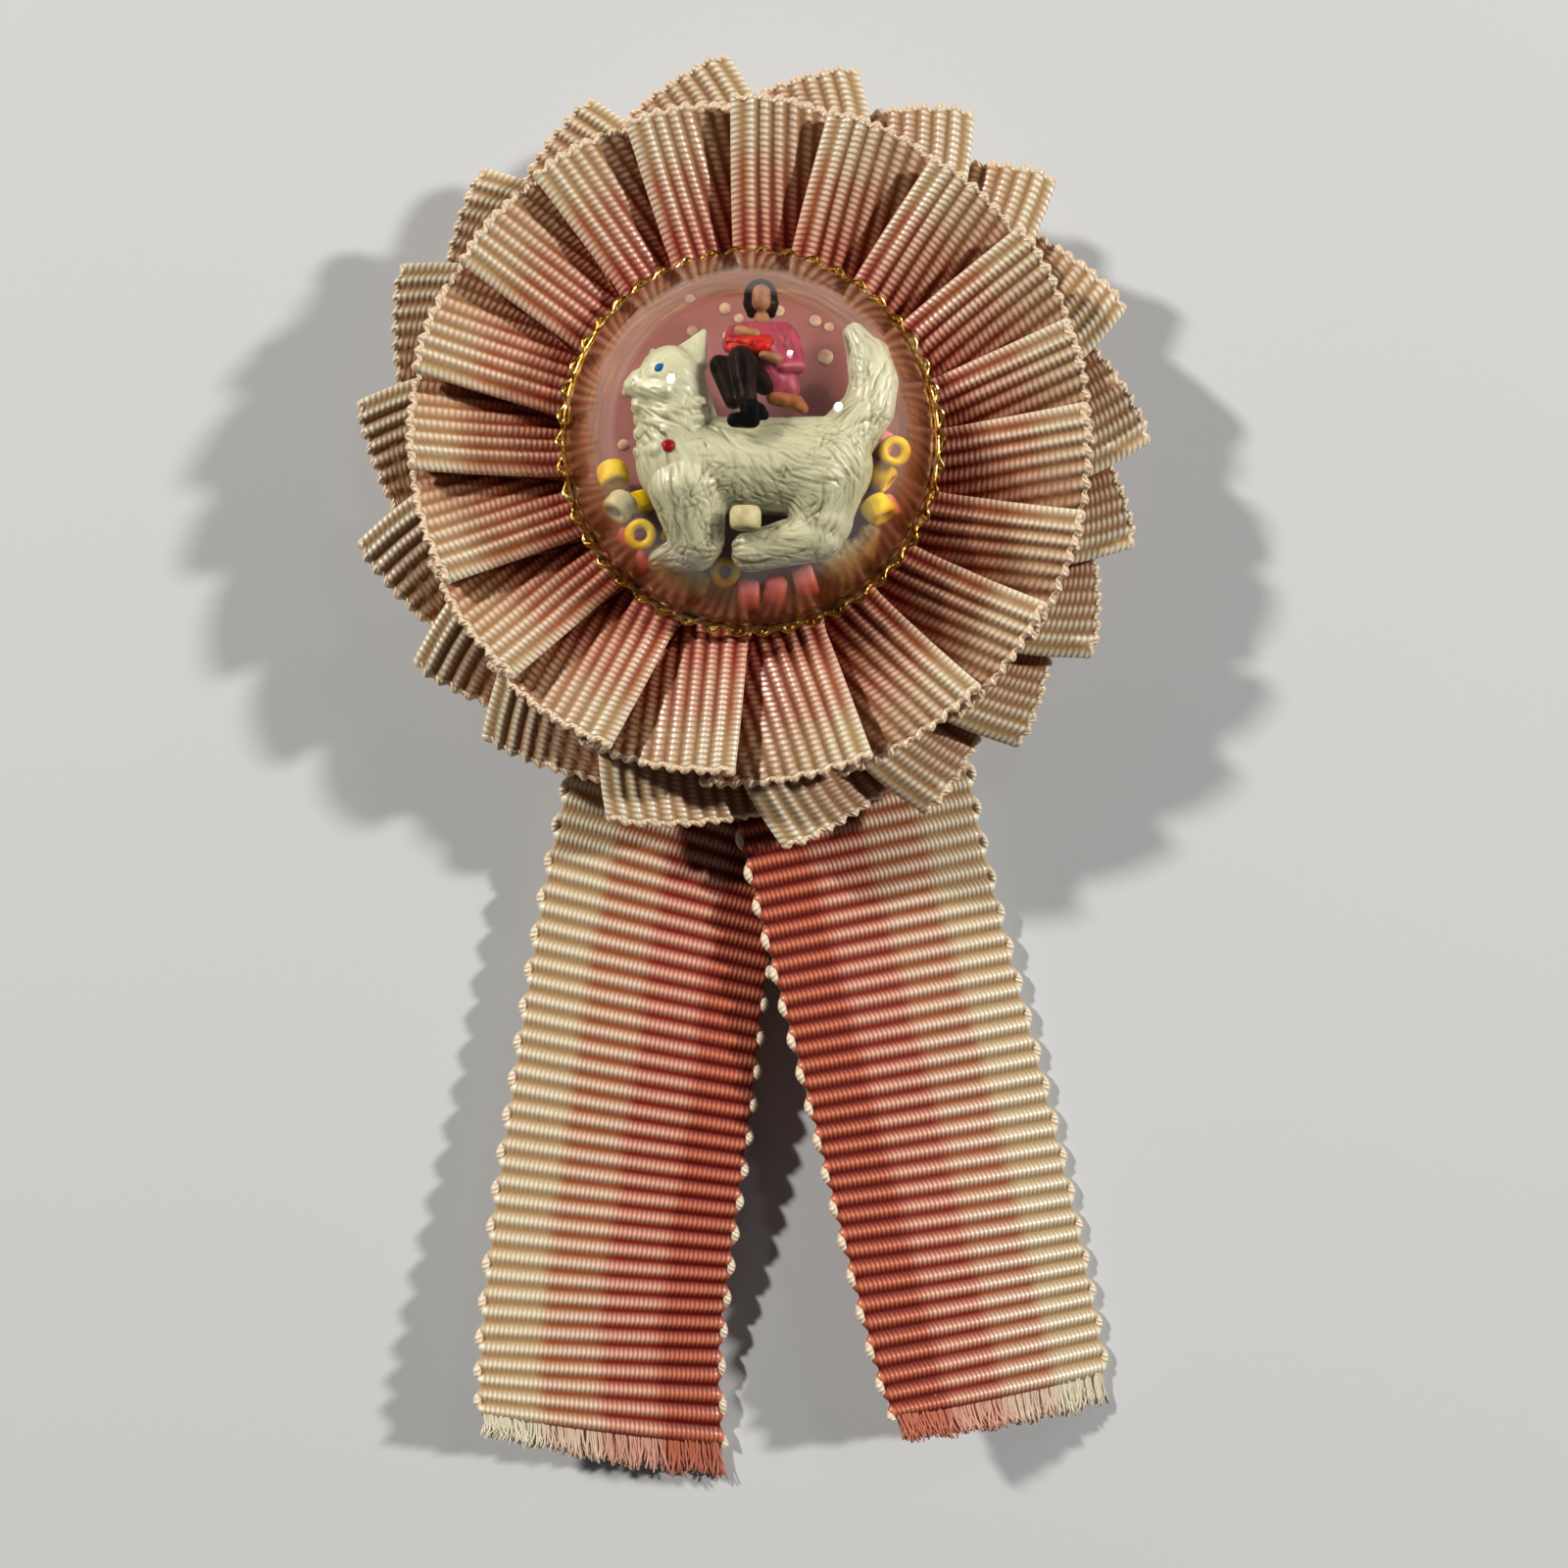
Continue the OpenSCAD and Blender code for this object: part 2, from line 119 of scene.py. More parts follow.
# one mesh from parts, each of which starts with its points in mm and its faces
def newMesh(name, parts):
    points, faces, base = [], [], 0
    for partPoints, partFaces, *_ in parts:
        points.append(np.asarray(partPoints, float).reshape(-1, 3))
        faces += [[int(k) + base for k in f] for f in partFaces]
        base += len(points[-1])
    mesh = bpy.data.meshes.new(name)
    mesh.from_pydata((np.concatenate(points) * mm).tolist(), [], faces)
    return mesh


# one finished piece; parts is a list of (points, faces, corner uv or None)
def makePiece(name, parts, material, nodes=()):
    mesh = newMesh(name, parts)
    uvs = [np.zeros((sum(len(f) for f in faces), 2)) if uv is None else uv for _, faces, uv in parts]
    layer = mesh.uv_layers.new(name="UVMap")
    layer.uv.foreach_set("vector", np.concatenate(uvs).astype(np.float32).ravel())
    mesh.materials.append(material)
    mesh.polygons.foreach_set("use_smooth", np.full(len(mesh.polygons), True))
    mesh.update()
    obj = newObject(name, mesh)
    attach(obj, "root")
    if nodes:
        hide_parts(*nodes)
    return obj


# a value for each point of a piece, for its material to read
def markPoints(obj, name, values):
    obj.data.attributes.new(name, "FLOAT", "POINT").data.foreach_set("value", values.astype(np.float32))


# a CAD node that keeps its own mesh gets this material
def finishNode(node, material):
    obj = next(o for o in bpy.data.objects if o.get("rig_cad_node") == node)
    obj.data.materials.clear()
    obj.data.materials.append(material)


# a tube's corner coordinates: mm along its path and turns round it
def tubeUv(path, sides, closed):
    step = np.linalg.norm(np.diff(path, axis=0), axis=1)
    along = np.concatenate([[0], np.cumsum(step), [step.sum() + step[-1]]])
    n = len(path) if closed else len(path) - 1
    low, high = along[:n, None], along[1:n + 1, None]
    near = np.arange(sides) / sides
    after = near + 1 / sides
    corners = np.broadcast_arrays(low, near, low, after, high, after, high, near)
    uv = np.stack(corners, -1).reshape(-1, 2)
    return uv if closed else np.concatenate([uv, np.zeros((6 * sides, 2))])


# a closed tube: rings of points round a path, in the plane of the two unit vectors out and up
def tube(path, out, up, radius, sides, closed):
    a = np.arange(sides) * 2 * math.pi / sides
    radius = np.broadcast_to(np.asarray(radius, float), (len(path),))[:, None, None]
    rings = path[:, None] + radius * (np.cos(a)[None, :, None] * out[:, None]
                                      + np.sin(a)[None, :, None] * up[:, None])
    n = len(path)
    points, faces = rings.reshape(-1, 3), gridQuads(n, sides, closed, True).tolist()
    if not closed:
        points = np.concatenate([points, path[:1], path[-1:]])
        faces += fan(n * sides, 0, sides, True) + fan(n * sides + 1, (n - 1) * sides, sides)
    return points, faces


# rings of points: a profile of (radius, height) turned about an upright axis
def turnedRings(profile, segments, middle=(0, 0)):
    a = np.arange(segments) * 2 * math.pi / segments
    return np.stack([middle[0] + profile[:, :1] * np.cos(a), middle[1] + profile[:, :1] * np.sin(a),
                     np.repeat(profile[:, 1:], segments, 1)], -1).reshape(-1, 3)


# a lathed shape about the rosette's axis; the profile's first and last points lie on the axis
def lathe(profile, segments, middle=centre):
    inner = np.asarray(profile[1:-1], float)
    poles = np.array([[*middle, profile[0][1]], [*middle, profile[-1][1]]])
    points = np.concatenate([turnedRings(inner, segments, middle), poles])
    n = len(inner)
    faces = gridQuads(n, segments, False, True)[:, ::-1].tolist() + fan(n * segments, 0, segments)
    return points, faces + fan(n * segments + 1, (n - 1) * segments, segments, True)


# a limb: two balls joined by a straight taper, as a profile turned about the line a-b
def limbShell(a, b, sides=22, rings=9):
    pa, ra, pb, rb = np.array(a[:3], float), a[3], np.array(b[:3], float), b[3]
    axis = unit(pb - pa + np.array([0, 0, 1e-6]))
    side = unit(np.cross(axis, [0.31, 0.22, 0.93] if abs(axis[2]) < 0.9 else [1.0, 0.1, 0]))
    third = np.cross(axis, side)
    t = np.linspace(-math.pi / 2, 0, rings)[1:]
    low = pa + axis * (ra * np.sin(t))[:, None]
    high = pb + axis * (rb * np.sin(-t[::-1]))[:, None]
    path = np.concatenate([low, high])
    radius = np.concatenate([ra * np.cos(t), rb * np.cos(t[::-1])])
    n = len(path)
    points, faces = tube(path, np.tile(side, (n, 1)), np.tile(third, (n, 1)), radius, sides, False)
    points[-2], points[-1] = pa - axis * ra, pb + axis * rb
    return points, faces


# one whole array from a mesh's vertices, edges, loops or polygons
def readAll(items, key, kind=int):
    values = np.zeros(len(items) * (3 if key == "co" else 2 if key == "vertices" else 1), kind)
    items.foreach_get(key, values)
    return values


# chains of limbs grown into one skin: voxel remesh, then the mean of each point's neighbours
def grownSkin(chains, voxel, rounds):
    shells = [limbShell(a, b) for chain in chains for a, b in zip(chain, chain[1:])]
    mesh = newMesh("draft", [(points + onCard, faces) for points, faces in shells])
    obj = newObject("draft", mesh)
    remesh = obj.modifiers.new("skin", "REMESH")
    remesh.mode, remesh.voxel_size = "VOXEL", voxel * mm
    done = bpy.data.meshes.new_from_object(obj.evaluated_get(bpy.context.evaluated_depsgraph_get()))
    co = readAll(done.vertices, "co", float).reshape(-1, 3) / mm
    n = len(co)
    edges = readAll(done.edges, "vertices").reshape(-1, 2)
    loops, sizes = readAll(done.loops, "vertex_index"), readAll(done.polygons, "loop_total")
    rows = np.split(loops, np.cumsum(sizes)[:-1])
    a, b = np.concatenate([edges, edges[:, ::-1]]).T
    count = np.bincount(a, minlength=n)[:, None]
    for _ in range(rounds):
        mean = np.stack([np.bincount(a, co[b, k], n) for k in range(3)], -1) / np.maximum(count, 1)
        co += 0.5 * (mean - co)
    bpy.data.objects.remove(obj)
    bpy.data.meshes.remove(mesh)
    bpy.data.meshes.remove(done)
    return co, rows


# mean of the face normals round each point, from three of each face's corners
def pointNormals(points, faces):
    tri = np.array([[f[0], f[1], f[2]] for f in faces])
    last = np.array([f[-1] for f in faces])
    flat = np.cross(points[tri[:, 1]] - points[tri[:, 0]], points[last] - points[tri[:, 0]])
    total = np.zeros_like(points)
    for k in range(3):
        np.add.at(total, tri[:, k], flat)
    np.add.at(total, last, flat)
    return unit(total)


# small helpers for materials

def fromSrgb(red, green, blue):
    c = np.array([red, green, blue]) / 255
    linear = np.where(c <= 0.04045, c / 12.92, ((c + 0.055) / 1.055) ** 2.4)
    return (*[float(x) for x in linear], 1.0)


def feed(tree, socket, value):
    if isinstance(value, bpy.types.NodeSocket):
        tree.links.new(value, socket)
    else:
        socket.default_value = value


def feedAll(tree, node, inputs):
    for key, value in inputs.items():
        feed(tree, node.inputs[key], value)


def addNode(tree, kind, inputs=None, **settings):
    node = tree.nodes.new(kind)
    for key, value in settings.items():
        setattr(node, key, value)
    feedAll(tree, node, inputs or {})
    return node


def calc(tree, operation, *values, clamp=False):
    node = addNode(tree, "ShaderNodeMath", operation=operation, use_clamp=clamp)
    for socket, value in zip(node.inputs, values):
        feed(tree, socket, value)
    return node.outputs[0]


# a value times a factor, plus another
def scaled(tree, value, factor, plus, clamp=False):
    return calc(tree, "MULTIPLY_ADD", value, factor, plus, clamp=clamp)


def mixColour(tree, factor, a, b, blend="MIX"):
    node = addNode(tree, "ShaderNodeMix", data_type="RGBA", blend_type=blend)
    for index, value in ((0, factor), (6, a), (7, b)):
        feed(tree, node.inputs[index], value)
    return node.outputs[2]


# stops are (place, sRGB colour)
def colourRamp(tree, factor, stops):
    node = addNode(tree, "ShaderNodeValToRGB", {"Fac": factor})
    elements = node.color_ramp.elements
    while len(elements) < len(stops):
        elements.new(0.5)
    for element, (place, colour) in zip(elements, sorted(stops, key=lambda s: s[0])):
        element.position, element.color = place, fromSrgb(*colour)
    return node.outputs["Color"]


def noise(tree, vector, scale, detail=2.0, rough=0.5):
    return addNode(tree, "ShaderNodeTexNoise", {
        "Vector": vector, "Scale": scale, "Detail": detail, "Roughness": rough}).outputs["Fac"]


def bump(tree, height, strength, distance):
    return addNode(tree, "ShaderNodeBump", {
        "Height": height, "Strength": strength, "Distance": distance}).outputs["Normal"]


def splitPlace(tree, place):
    return addNode(tree, "ShaderNodeSeparateXYZ", {"Vector": place}).outputs


def objectPlace(tree):
    return addNode(tree, "ShaderNodeTexCoord").outputs["Object"]


def ownPlace(tree):
    return addNode(tree, "ShaderNodeUVMap", uv_map="UVMap").outputs["UV"]


def newMaterial(name, settings=None):
    material = bpy.data.materials.new(name)
    material.use_nodes = True
    tree = material.node_tree
    shader = tree.nodes["Principled BSDF"]
    feedAll(tree, shader, settings or {})
    return material, tree, shader


# a material with its colour, roughness and bumps from noises. Its look has the noise as (scale,
# detail), a ramp of colours over it, the roughness as (factor, plus) and the bump as (strength,
# distance); noises of their own for the roughness and the bump if they have them
def mottled(name, settings, look):
    material, tree, shader = newMaterial(name, settings)
    place = objectPlace(tree)
    if "stretch" in look:
        place = addNode(tree, "ShaderNodeMapping", {"Vector": place, "Scale": look["stretch"]}).outputs[0]
    grain = noise(tree, place, *look["noise"])
    feed(tree, shader.inputs["Base Color"], colourRamp(tree, grain, look["ramp"]))
    if "rough" in look:
        roughGrain = noise(tree, place, *look["roughNoise"]) if "roughNoise" in look else grain
        feed(tree, shader.inputs["Roughness"], scaled(tree, roughGrain, *look["rough"]))
    bumpGrain = noise(tree, place, *look["bumpNoise"]) if "bumpNoise" in look else grain
    feed(tree, shader.inputs["Normal"], bump(tree, bumpGrain, *look["bump"]))
    return material


def newGroup(name, inputs, outputs):
    tree = bpy.data.node_groups.new(name, "ShaderNodeTree")
    for key, kind, value in inputs:
        socket = tree.interface.new_socket(name=key, in_out="INPUT", socket_type=kind)
        if value is not None:
            socket.default_value = value
    for key in outputs:
        tree.interface.new_socket(name=key, in_out="OUTPUT", socket_type="NodeSocketFloat")
    return tree, tree.nodes.new("NodeGroupInput").outputs, tree.nodes.new("NodeGroupOutput")


def useGroup(tree, group, inputs):
    return addNode(tree, "ShaderNodeGroup", inputs, node_tree=group).outputs


# camera, floor and light

viewing = {"place": (2.3, 1.0, 140.0), "lens": 36.1, "film": 36}
camera = newObject("camera", bpy.data.cameras.new("camera"))
camera.location = [v * mm for v in viewing["place"]]
camera.data.lens, camera.data.sensor_width = viewing["lens"], viewing["film"]
camera.data.clip_start, camera.data.clip_end = 0.005, 10
bpy.context.scene.camera = camera
bpy.context.scene.view_settings.view_transform = "Standard"

ground = {"half": 2000, "colour": fromSrgb(211, 213, 215), "rough": 0.8}  # half its side in mm
floorCorners = np.array([(-1, -1, 0), (1, -1, 0), (1, 1, 0), (-1, 1, 0)]) * ground["half"]
floor = newObject("floor", newMesh("floor", [(floorCorners, [(0, 1, 2, 3)])]))
floor.data.materials.append(newMaterial("paleFloor", {
    "Base Color": ground["colour"], "Roughness": ground["rough"]})[0])

# each light as azimuth from +X, elevation, size in metres, power in watts, colour
lights = {"right": (16, 34, 0.09, 11.0, (1.0, 0.975, 0.93)),
          "left": (146, 35, 0.09, 11.7, (1.0, 0.965, 0.91)),
          "top": (62, 40, 0.07, 0.5, (1.0, 0.98, 0.95))}
room = {"lightFar": 1.2, "lightsMiddle": np.array([0, 0.015, 0]), "colour": (0.93, 0.97, 1.0, 1),
        "strength": 0.042}
for name, (azimuth, elevation, size, power, colour) in lights.items():
    data = bpy.data.lights.new(name, "AREA")
    data.shape, data.size, data.energy, data.color = "DISK", size, power, colour
    lamp = newObject(name, data)
    a, e = math.radians(azimuth), math.radians(elevation)
    aim = np.array([math.cos(a) * math.cos(e), math.sin(a) * math.cos(e), math.sin(e)])
    lamp.location = aim * room["lightFar"] + room["lightsMiddle"]
    lamp.rotation_euler = (math.pi / 2 - e, 0, a + math.pi / 2)
world = bpy.data.worlds.new("softRoom")
world.use_nodes = True
feedAll(world.node_tree, world.node_tree.nodes["Background"], {
    "Color": room["colour"], "Strength": room["strength"]})
bpy.context.scene.world = world
print("camera, floor and lights set")


# ribbed ribbon

# ribs run across the ribbon and the threads that cover them run along it; u and w are in mm. Each
# thread shows as a lens on the rib it goes over, and every second rib shows the other threads
weaveLook = {"rib": 1.3, "thread": 0.45, "slant": 0.3, "lens": (0.3, 0.5), "height": (0.9, 0.1),
             "crestLight": (0.55, 0.45)}
weaveGroup, given, made = newGroup(
    "ribbedWeave",
    [("Place", "NodeSocketVector", None), ("Rib", "NodeSocketFloat", weaveLook["rib"]),
     ("Thread", "NodeSocketFloat", weaveLook["thread"]), ("Slant", "NodeSocketFloat", weaveLook["slant"])],
    ["Height", "Crest", "Glint"])
weave = partial(calc, weaveGroup)
along = splitPlace(weaveGroup, given["Place"])
ribCount = weave("DIVIDE", along["X"], given["Rib"])
ribCell = weave("FLOOR", ribCount)
ribPart = weave("SUBTRACT", weave("SUBTRACT", ribCount, ribCell), 0.5)
ribTop = weave("COSINE", weave("MULTIPLY", ribPart, math.pi), clamp=True)
ribSquare = weave("MULTIPLY", ribTop, ribTop)
everyOther = weave("MULTIPLY", weave("FLOORED_MODULO", ribCell, 2.0), 0.5)
slant = weave("MULTIPLY_ADD", ribPart, given["Slant"], everyOther)
threadCount = weave("ADD", weave("DIVIDE", along["Y"], given["Thread"]), slant)
threadPart = weave("MULTIPLY_ADD", weave("FRACT", threadCount), 2.0, -1.0)
fuller = weave("MULTIPLY_ADD", ribTop, *weaveLook["lens"])  # the lens is fuller on the rib's top
lens = weave("DIVIDE", threadPart, fuller)
strand = weave("SUBTRACT", 1.0, weave("MULTIPLY", lens, lens), clamp=True)
# Crest lightens the colour on the rib tops and the middle of each lens, a painted highlight, and leaves it
# darker down between the ribs, a painted shade
feedAll(weaveGroup, made, {
    "Height": weave("MULTIPLY", weave("SQRT", strand), weave("MULTIPLY_ADD", ribTop, *weaveLook["height"])),
    "Crest": weave("MULTIPLY", ribSquare, weave("MULTIPLY_ADD", strand, *weaveLook["crestLight"])),
    "Glint": weave("MULTIPLY", strand, ribSquare)})

ribbonWidth = 20
# each dye's colour on the rib tops, lighter as a painted highlight, and down between the ribs, darker as a
# painted shade
stripesLitAndShaded = {"cream": ((255, 250, 226), (176, 144, 98)), "blush": ((255, 234, 210), (158, 86, 44)),
           "salmon": ((254, 200, 174), (134, 30, 5)), "coral": ((232, 136, 102), (100, 3, 1))}


# the colours of the dyed stripes by the place across the ribbon, 0 at its outer selvedge; layer 0 gives
# the lighter tint on the ribs, a painted highlight, and 1 the darker tint between them, a painted shade;
# soft is how wide the dyes run into each other
def dyeColourWithRibLight(tree, across, dye, soft, layer):
    stops, before = [(0.0, stripesLitAndShaded[dye[0][1]][layer])], None
    for end, colour in dye:
        tint = stripesLitAndShaded[colour][layer]
        if before is not None:
            stops.append((before + soft, tint))
        before = min(end / ribbonWidth, 1.0)
        stops.append((before - soft, tint))
    return colourRamp(tree, across, stops)


cloth = {
    "Subsurface Weight": 0.45, "Subsurface Radius": (1.0, 0.38, 0.16), "Subsurface Scale": 0.0009,
    "Specular IOR Level": 0.16, "Coat Roughness": 0.34, "Coat IOR": 1.7}
# each noise is (scale, detail), each bump is (strength, distance); fold is the tone of painted shade
clothLook = {
    "wander": (420.0, 3.0), "cloudNoise": (260.0, 3.0), "cloudy": 0.25, "cloud": fromSrgb(222, 170, 138),
    "fold": fromSrgb(196, 108, 58), "fuzzNoise": (9000.0, 2.0), "fuzz": 0.1, "bump": (0.75, 0.00013),
    "rough": 0.5, "glintRough": -0.2}


# the dyed stripes are (end of the stripe in mm from the outer selvedge, colour). The cut says how
# long a rib and a thread are, how far a dye's edge wanders (bleed), how wide it is (soft) and how
# much painted shade darkens the colour where the attribute says fold valley (deep)
def ribbonMaterial(name, dye, cut):
    material, tree, shader = newMaterial(name, cloth)
    uv, place = ownPlace(tree), objectPlace(tree)
    woven = useGroup(tree, weaveGroup, {"Place": uv, "Rib": cut["rib"], "Thread": cut["thread"]})
    wander = scaled(tree, noise(tree, place, *clothLook["wander"]), 2 * cut["bleed"], -cut["bleed"])
    across = calc(tree, "DIVIDE", calc(tree, "ADD", splitPlace(tree, uv)["Y"], wander), ribbonWidth)
    litDye, shadedDye = [dyeColourWithRibLight(tree, across, dye, cut["soft"], layer) for layer in (0, 1)]
    # the lighter tint on the rib tops is a painted highlight, the darker one between them a painted shade
    colour = mixColour(tree, woven["Crest"], shadedDye, litDye)
    cloudy = calc(tree, "MULTIPLY", noise(tree, place, *clothLook["cloudNoise"]), clothLook["cloudy"])
    colour = mixColour(tree, cloudy, colour, clothLook["cloud"], "MULTIPLY")
    # painted shade: the colour darkens towards the fold tone where the pleats' valleys lie in shade
    if cut["deep"]:
        valley = addNode(tree, "ShaderNodeAttribute", attribute_name="valley").outputs["Fac"]
        foldShade = calc(tree, "MULTIPLY", valley, cut["deep"])
        colour = mixColour(tree, foldShade, colour, clothLook["fold"], "MULTIPLY")
    fuzz = noise(tree, place, *clothLook["fuzzNoise"])
    height = scaled(tree, fuzz, clothLook["fuzz"], woven["Height"])
    feedAll(tree, shader, {
        "Base Color": colour, "Normal": bump(tree, height, *clothLook["bump"]),
        "Roughness": scaled(tree, woven["Glint"], clothLook["glintRough"], clothLook["rough"]),
        "Coat Weight": woven["Glint"]})
    return material


# loose warp threads in the ribbon's stripes: the top ones lighter, the lower ones in painted shade
def fringeMaterial(name, dye, soft, litHairShare=0.22, shadedHairShare=0.45):
    material, tree, shader = newMaterial(name, {"Roughness": 0.5, "Sheen Weight": 0.3})
    own = splitPlace(tree, ownPlace(tree))
    across = calc(tree, "DIVIDE", own["Y"], ribbonWidth)
    litDye, shadedDye = [dyeColourWithRibLight(tree, across, dye, soft, layer) for layer in (0, 1)]
    litHairs, dark = [mixColour(tree, share, litDye, shadedDye) for share in (litHairShare, shadedHairShare)]
    # the lower hairs take the darker colour, a painted shade under the hairs on top
    feed(tree, shader.inputs["Base Color"], mixColour(tree, own["X"], dark, litHairs))
    return material


threadLook = {
    "twist": 0.42, "spread": 2, "cloudNoise": (500.0, 2.0), "cloudy": 0.3, "cloud": fromSrgb(230, 200, 164),
    "grooveShade": 0.4, "groove": fromSrgb(216, 170, 132), "bump": (0.6, 0.00011)}


# a plied thread: a sine that winds round it, once in each twist's length in mm
def threadMaterial(name, colour):
    material, tree, shader = newMaterial(name, {"Roughness": 0.34, "Specular IOR Level": 0.9})
    own, place = splitPlace(tree, ownPlace(tree)), objectPlace(tree)
    strands = calc(tree, "MULTIPLY", own["Y"], threadLook["spread"] * 2 * math.pi)
    turn = scaled(tree, own["X"], 2 * math.pi / threadLook["twist"], strands)
    ply = scaled(tree, calc(tree, "SINE", turn), 0.5, 0.5)
    cloudy = calc(tree, "MULTIPLY", noise(tree, place, *threadLook["cloudNoise"]), threadLook["cloudy"])
    tone = mixColour(tree, cloudy, colour, threadLook["cloud"], "MULTIPLY")
    # painted shade: the colour darkens in the grooves between the plies
    grooveShade = scaled(tree, ply, -threadLook["grooveShade"], threadLook["grooveShade"])
    tone = mixColour(tree, grooveShade, tone, threadLook["groove"], "MULTIPLY")
    feedAll(tree, shader, {"Base Color": tone, "Normal": bump(tree, ply, *threadLook["bump"])})
    return material


# half the cloth's thickness along u: a row of cords side by side, as a cosine with its tops at
# the middle of each rib
def ribHeight(u, pitch, half, depth):
    return half - depth * (0.5 + 0.5 * np.cos(2 * math.pi * u / pitch))


sideRows = 3  # the points round each selvedge of a wall


# a closed wall of cloth round a middle surface. Rows go from the inner selvedge to the outer one
# and columns along the ribbon: out to the face, round each selvedge in a half circle, back behind
def clothWall(middle, normal, half):
    first = unit(middle[0] - middle[1])
    last = unit(middle[-1] - middle[-2])
    turns = (np.arange(sideRows) + 1) * math.pi / (sideRows + 1)
    rows = list(middle + normal * half[..., None])
    for t in turns:
        rows.append(middle[-1] + half[-1][..., None] * (normal[-1] * math.cos(t) + last * math.sin(t)))
    rows += list((middle - normal * half[..., None])[::-1])
    for t in turns:
        rows.append(middle[0] + half[0][..., None] * (-normal[0] * math.cos(t) + first * math.sin(t)))
    return np.stack(rows)


# the same order of rows for a value that goes with the middle surface
def wallRows(value):
    return np.concatenate([value, np.repeat(value[-1:], sideRows, 0), value[::-1],
                           np.repeat(value[:1], sideRows, 0)])


# the corner coordinates of a wall's quads, from a place for each of its points
def cornerPlaces(place):
    nextRow = np.roll(place, -1, 0)
    return np.stack([place[..., :-1, :], place[..., 1:, :], nextRow[..., 1:, :], nextRow[..., :-1, :]], -2)


# the section of a ring of knife pleats, as places (sideways, up) in mm from each fold's angle. The
# cloth goes round the last valley on an arc, up a steep riser, over the fold on an arc, down the top
# layer, which swells as half a sine, and round the next valley on an arc. The straight stretches
# touch the arcs. It gives the places, how near each is to a valley, the way along the cloth, the
# whole way, and the way to the fold
def pleatSection(pitch, tall, under, swell, bend, columns):
    rise = np.arctan2(tall - 2 * bend, bend - under)
    rise = rise + np.arcsin(np.clip(2 * bend / np.hypot(bend - under, tall - 2 * bend), -1, 1))
    run, up = pitch + under - bend, 2 * bend - tall
    fall = np.arctan2(up, run) - np.arcsin(np.clip(2 * bend / np.hypot(run, up), -1, 1))

    def point(x, y):
        return np.stack(np.broadcast_arrays(x, y), -1)

    def onArc(a):
        return point(-bend * np.sin(a), bend * np.cos(a))

    lastValley, nextValley = point(under, bend), point(pitch + under, bend)
    foldAt = point(bend, tall - bend)
    riserLow, riserHigh = lastValley - onArc(rise), foldAt + onArc(rise)
    topHigh, topLow = foldAt + onArc(fall), nextValley - onArc(fall)
    riser = np.linalg.norm(riserHigh - riserLow, axis=-1)
    layer = np.linalg.norm(topLow - topHigh, axis=-1)

    def onRiser(s):
        return riserLow + (riserHigh - riserLow) * s[..., None]

    def onLayer(s):
        return topHigh + (topLow - topHigh) * s[..., None] + point(0, swell * np.sin(math.pi * s))

    # each stretch: its length, then its places and how near they are to a valley, by the share s of it
    stretches = [
        (bend * rise, lambda s: lastValley - onArc(rise * s), np.ones_like),
        (riser, onRiser, lambda s: 1 - s),
        (bend * (rise - fall), lambda s: foldAt + onArc(rise + (fall - rise) * s), np.zeros_like),
        (layer, onLayer, lambda s: s),
        (bend * -fall, lambda s: nextValley - onArc(fall * (1 - s)), np.ones_like)]
    ends = np.cumsum(np.stack(np.broadcast_arrays(*[row[0] for row in stretches])), 0)
    way = ends[-1] * np.linspace(0, 1, columns + 1)
    places, toValley, low = np.zeros(way.shape + (2,)), np.zeros(way.shape), np.zeros_like(ends[0])
    for (_, placesAt, nearness), high in zip(stretches, ends):
        inside = (way >= low) & (way <= high + 1e-9)
        s = np.clip((way - low) / np.maximum(high - low, 1e-9), 0, 1)
        places = np.where(inside[..., None], placesAt(s), places)
        toValley = np.where(inside, nearness(s), toValley)
        low = high
    return places, toValley, way, ends[-1], ends[1] + bend * rise


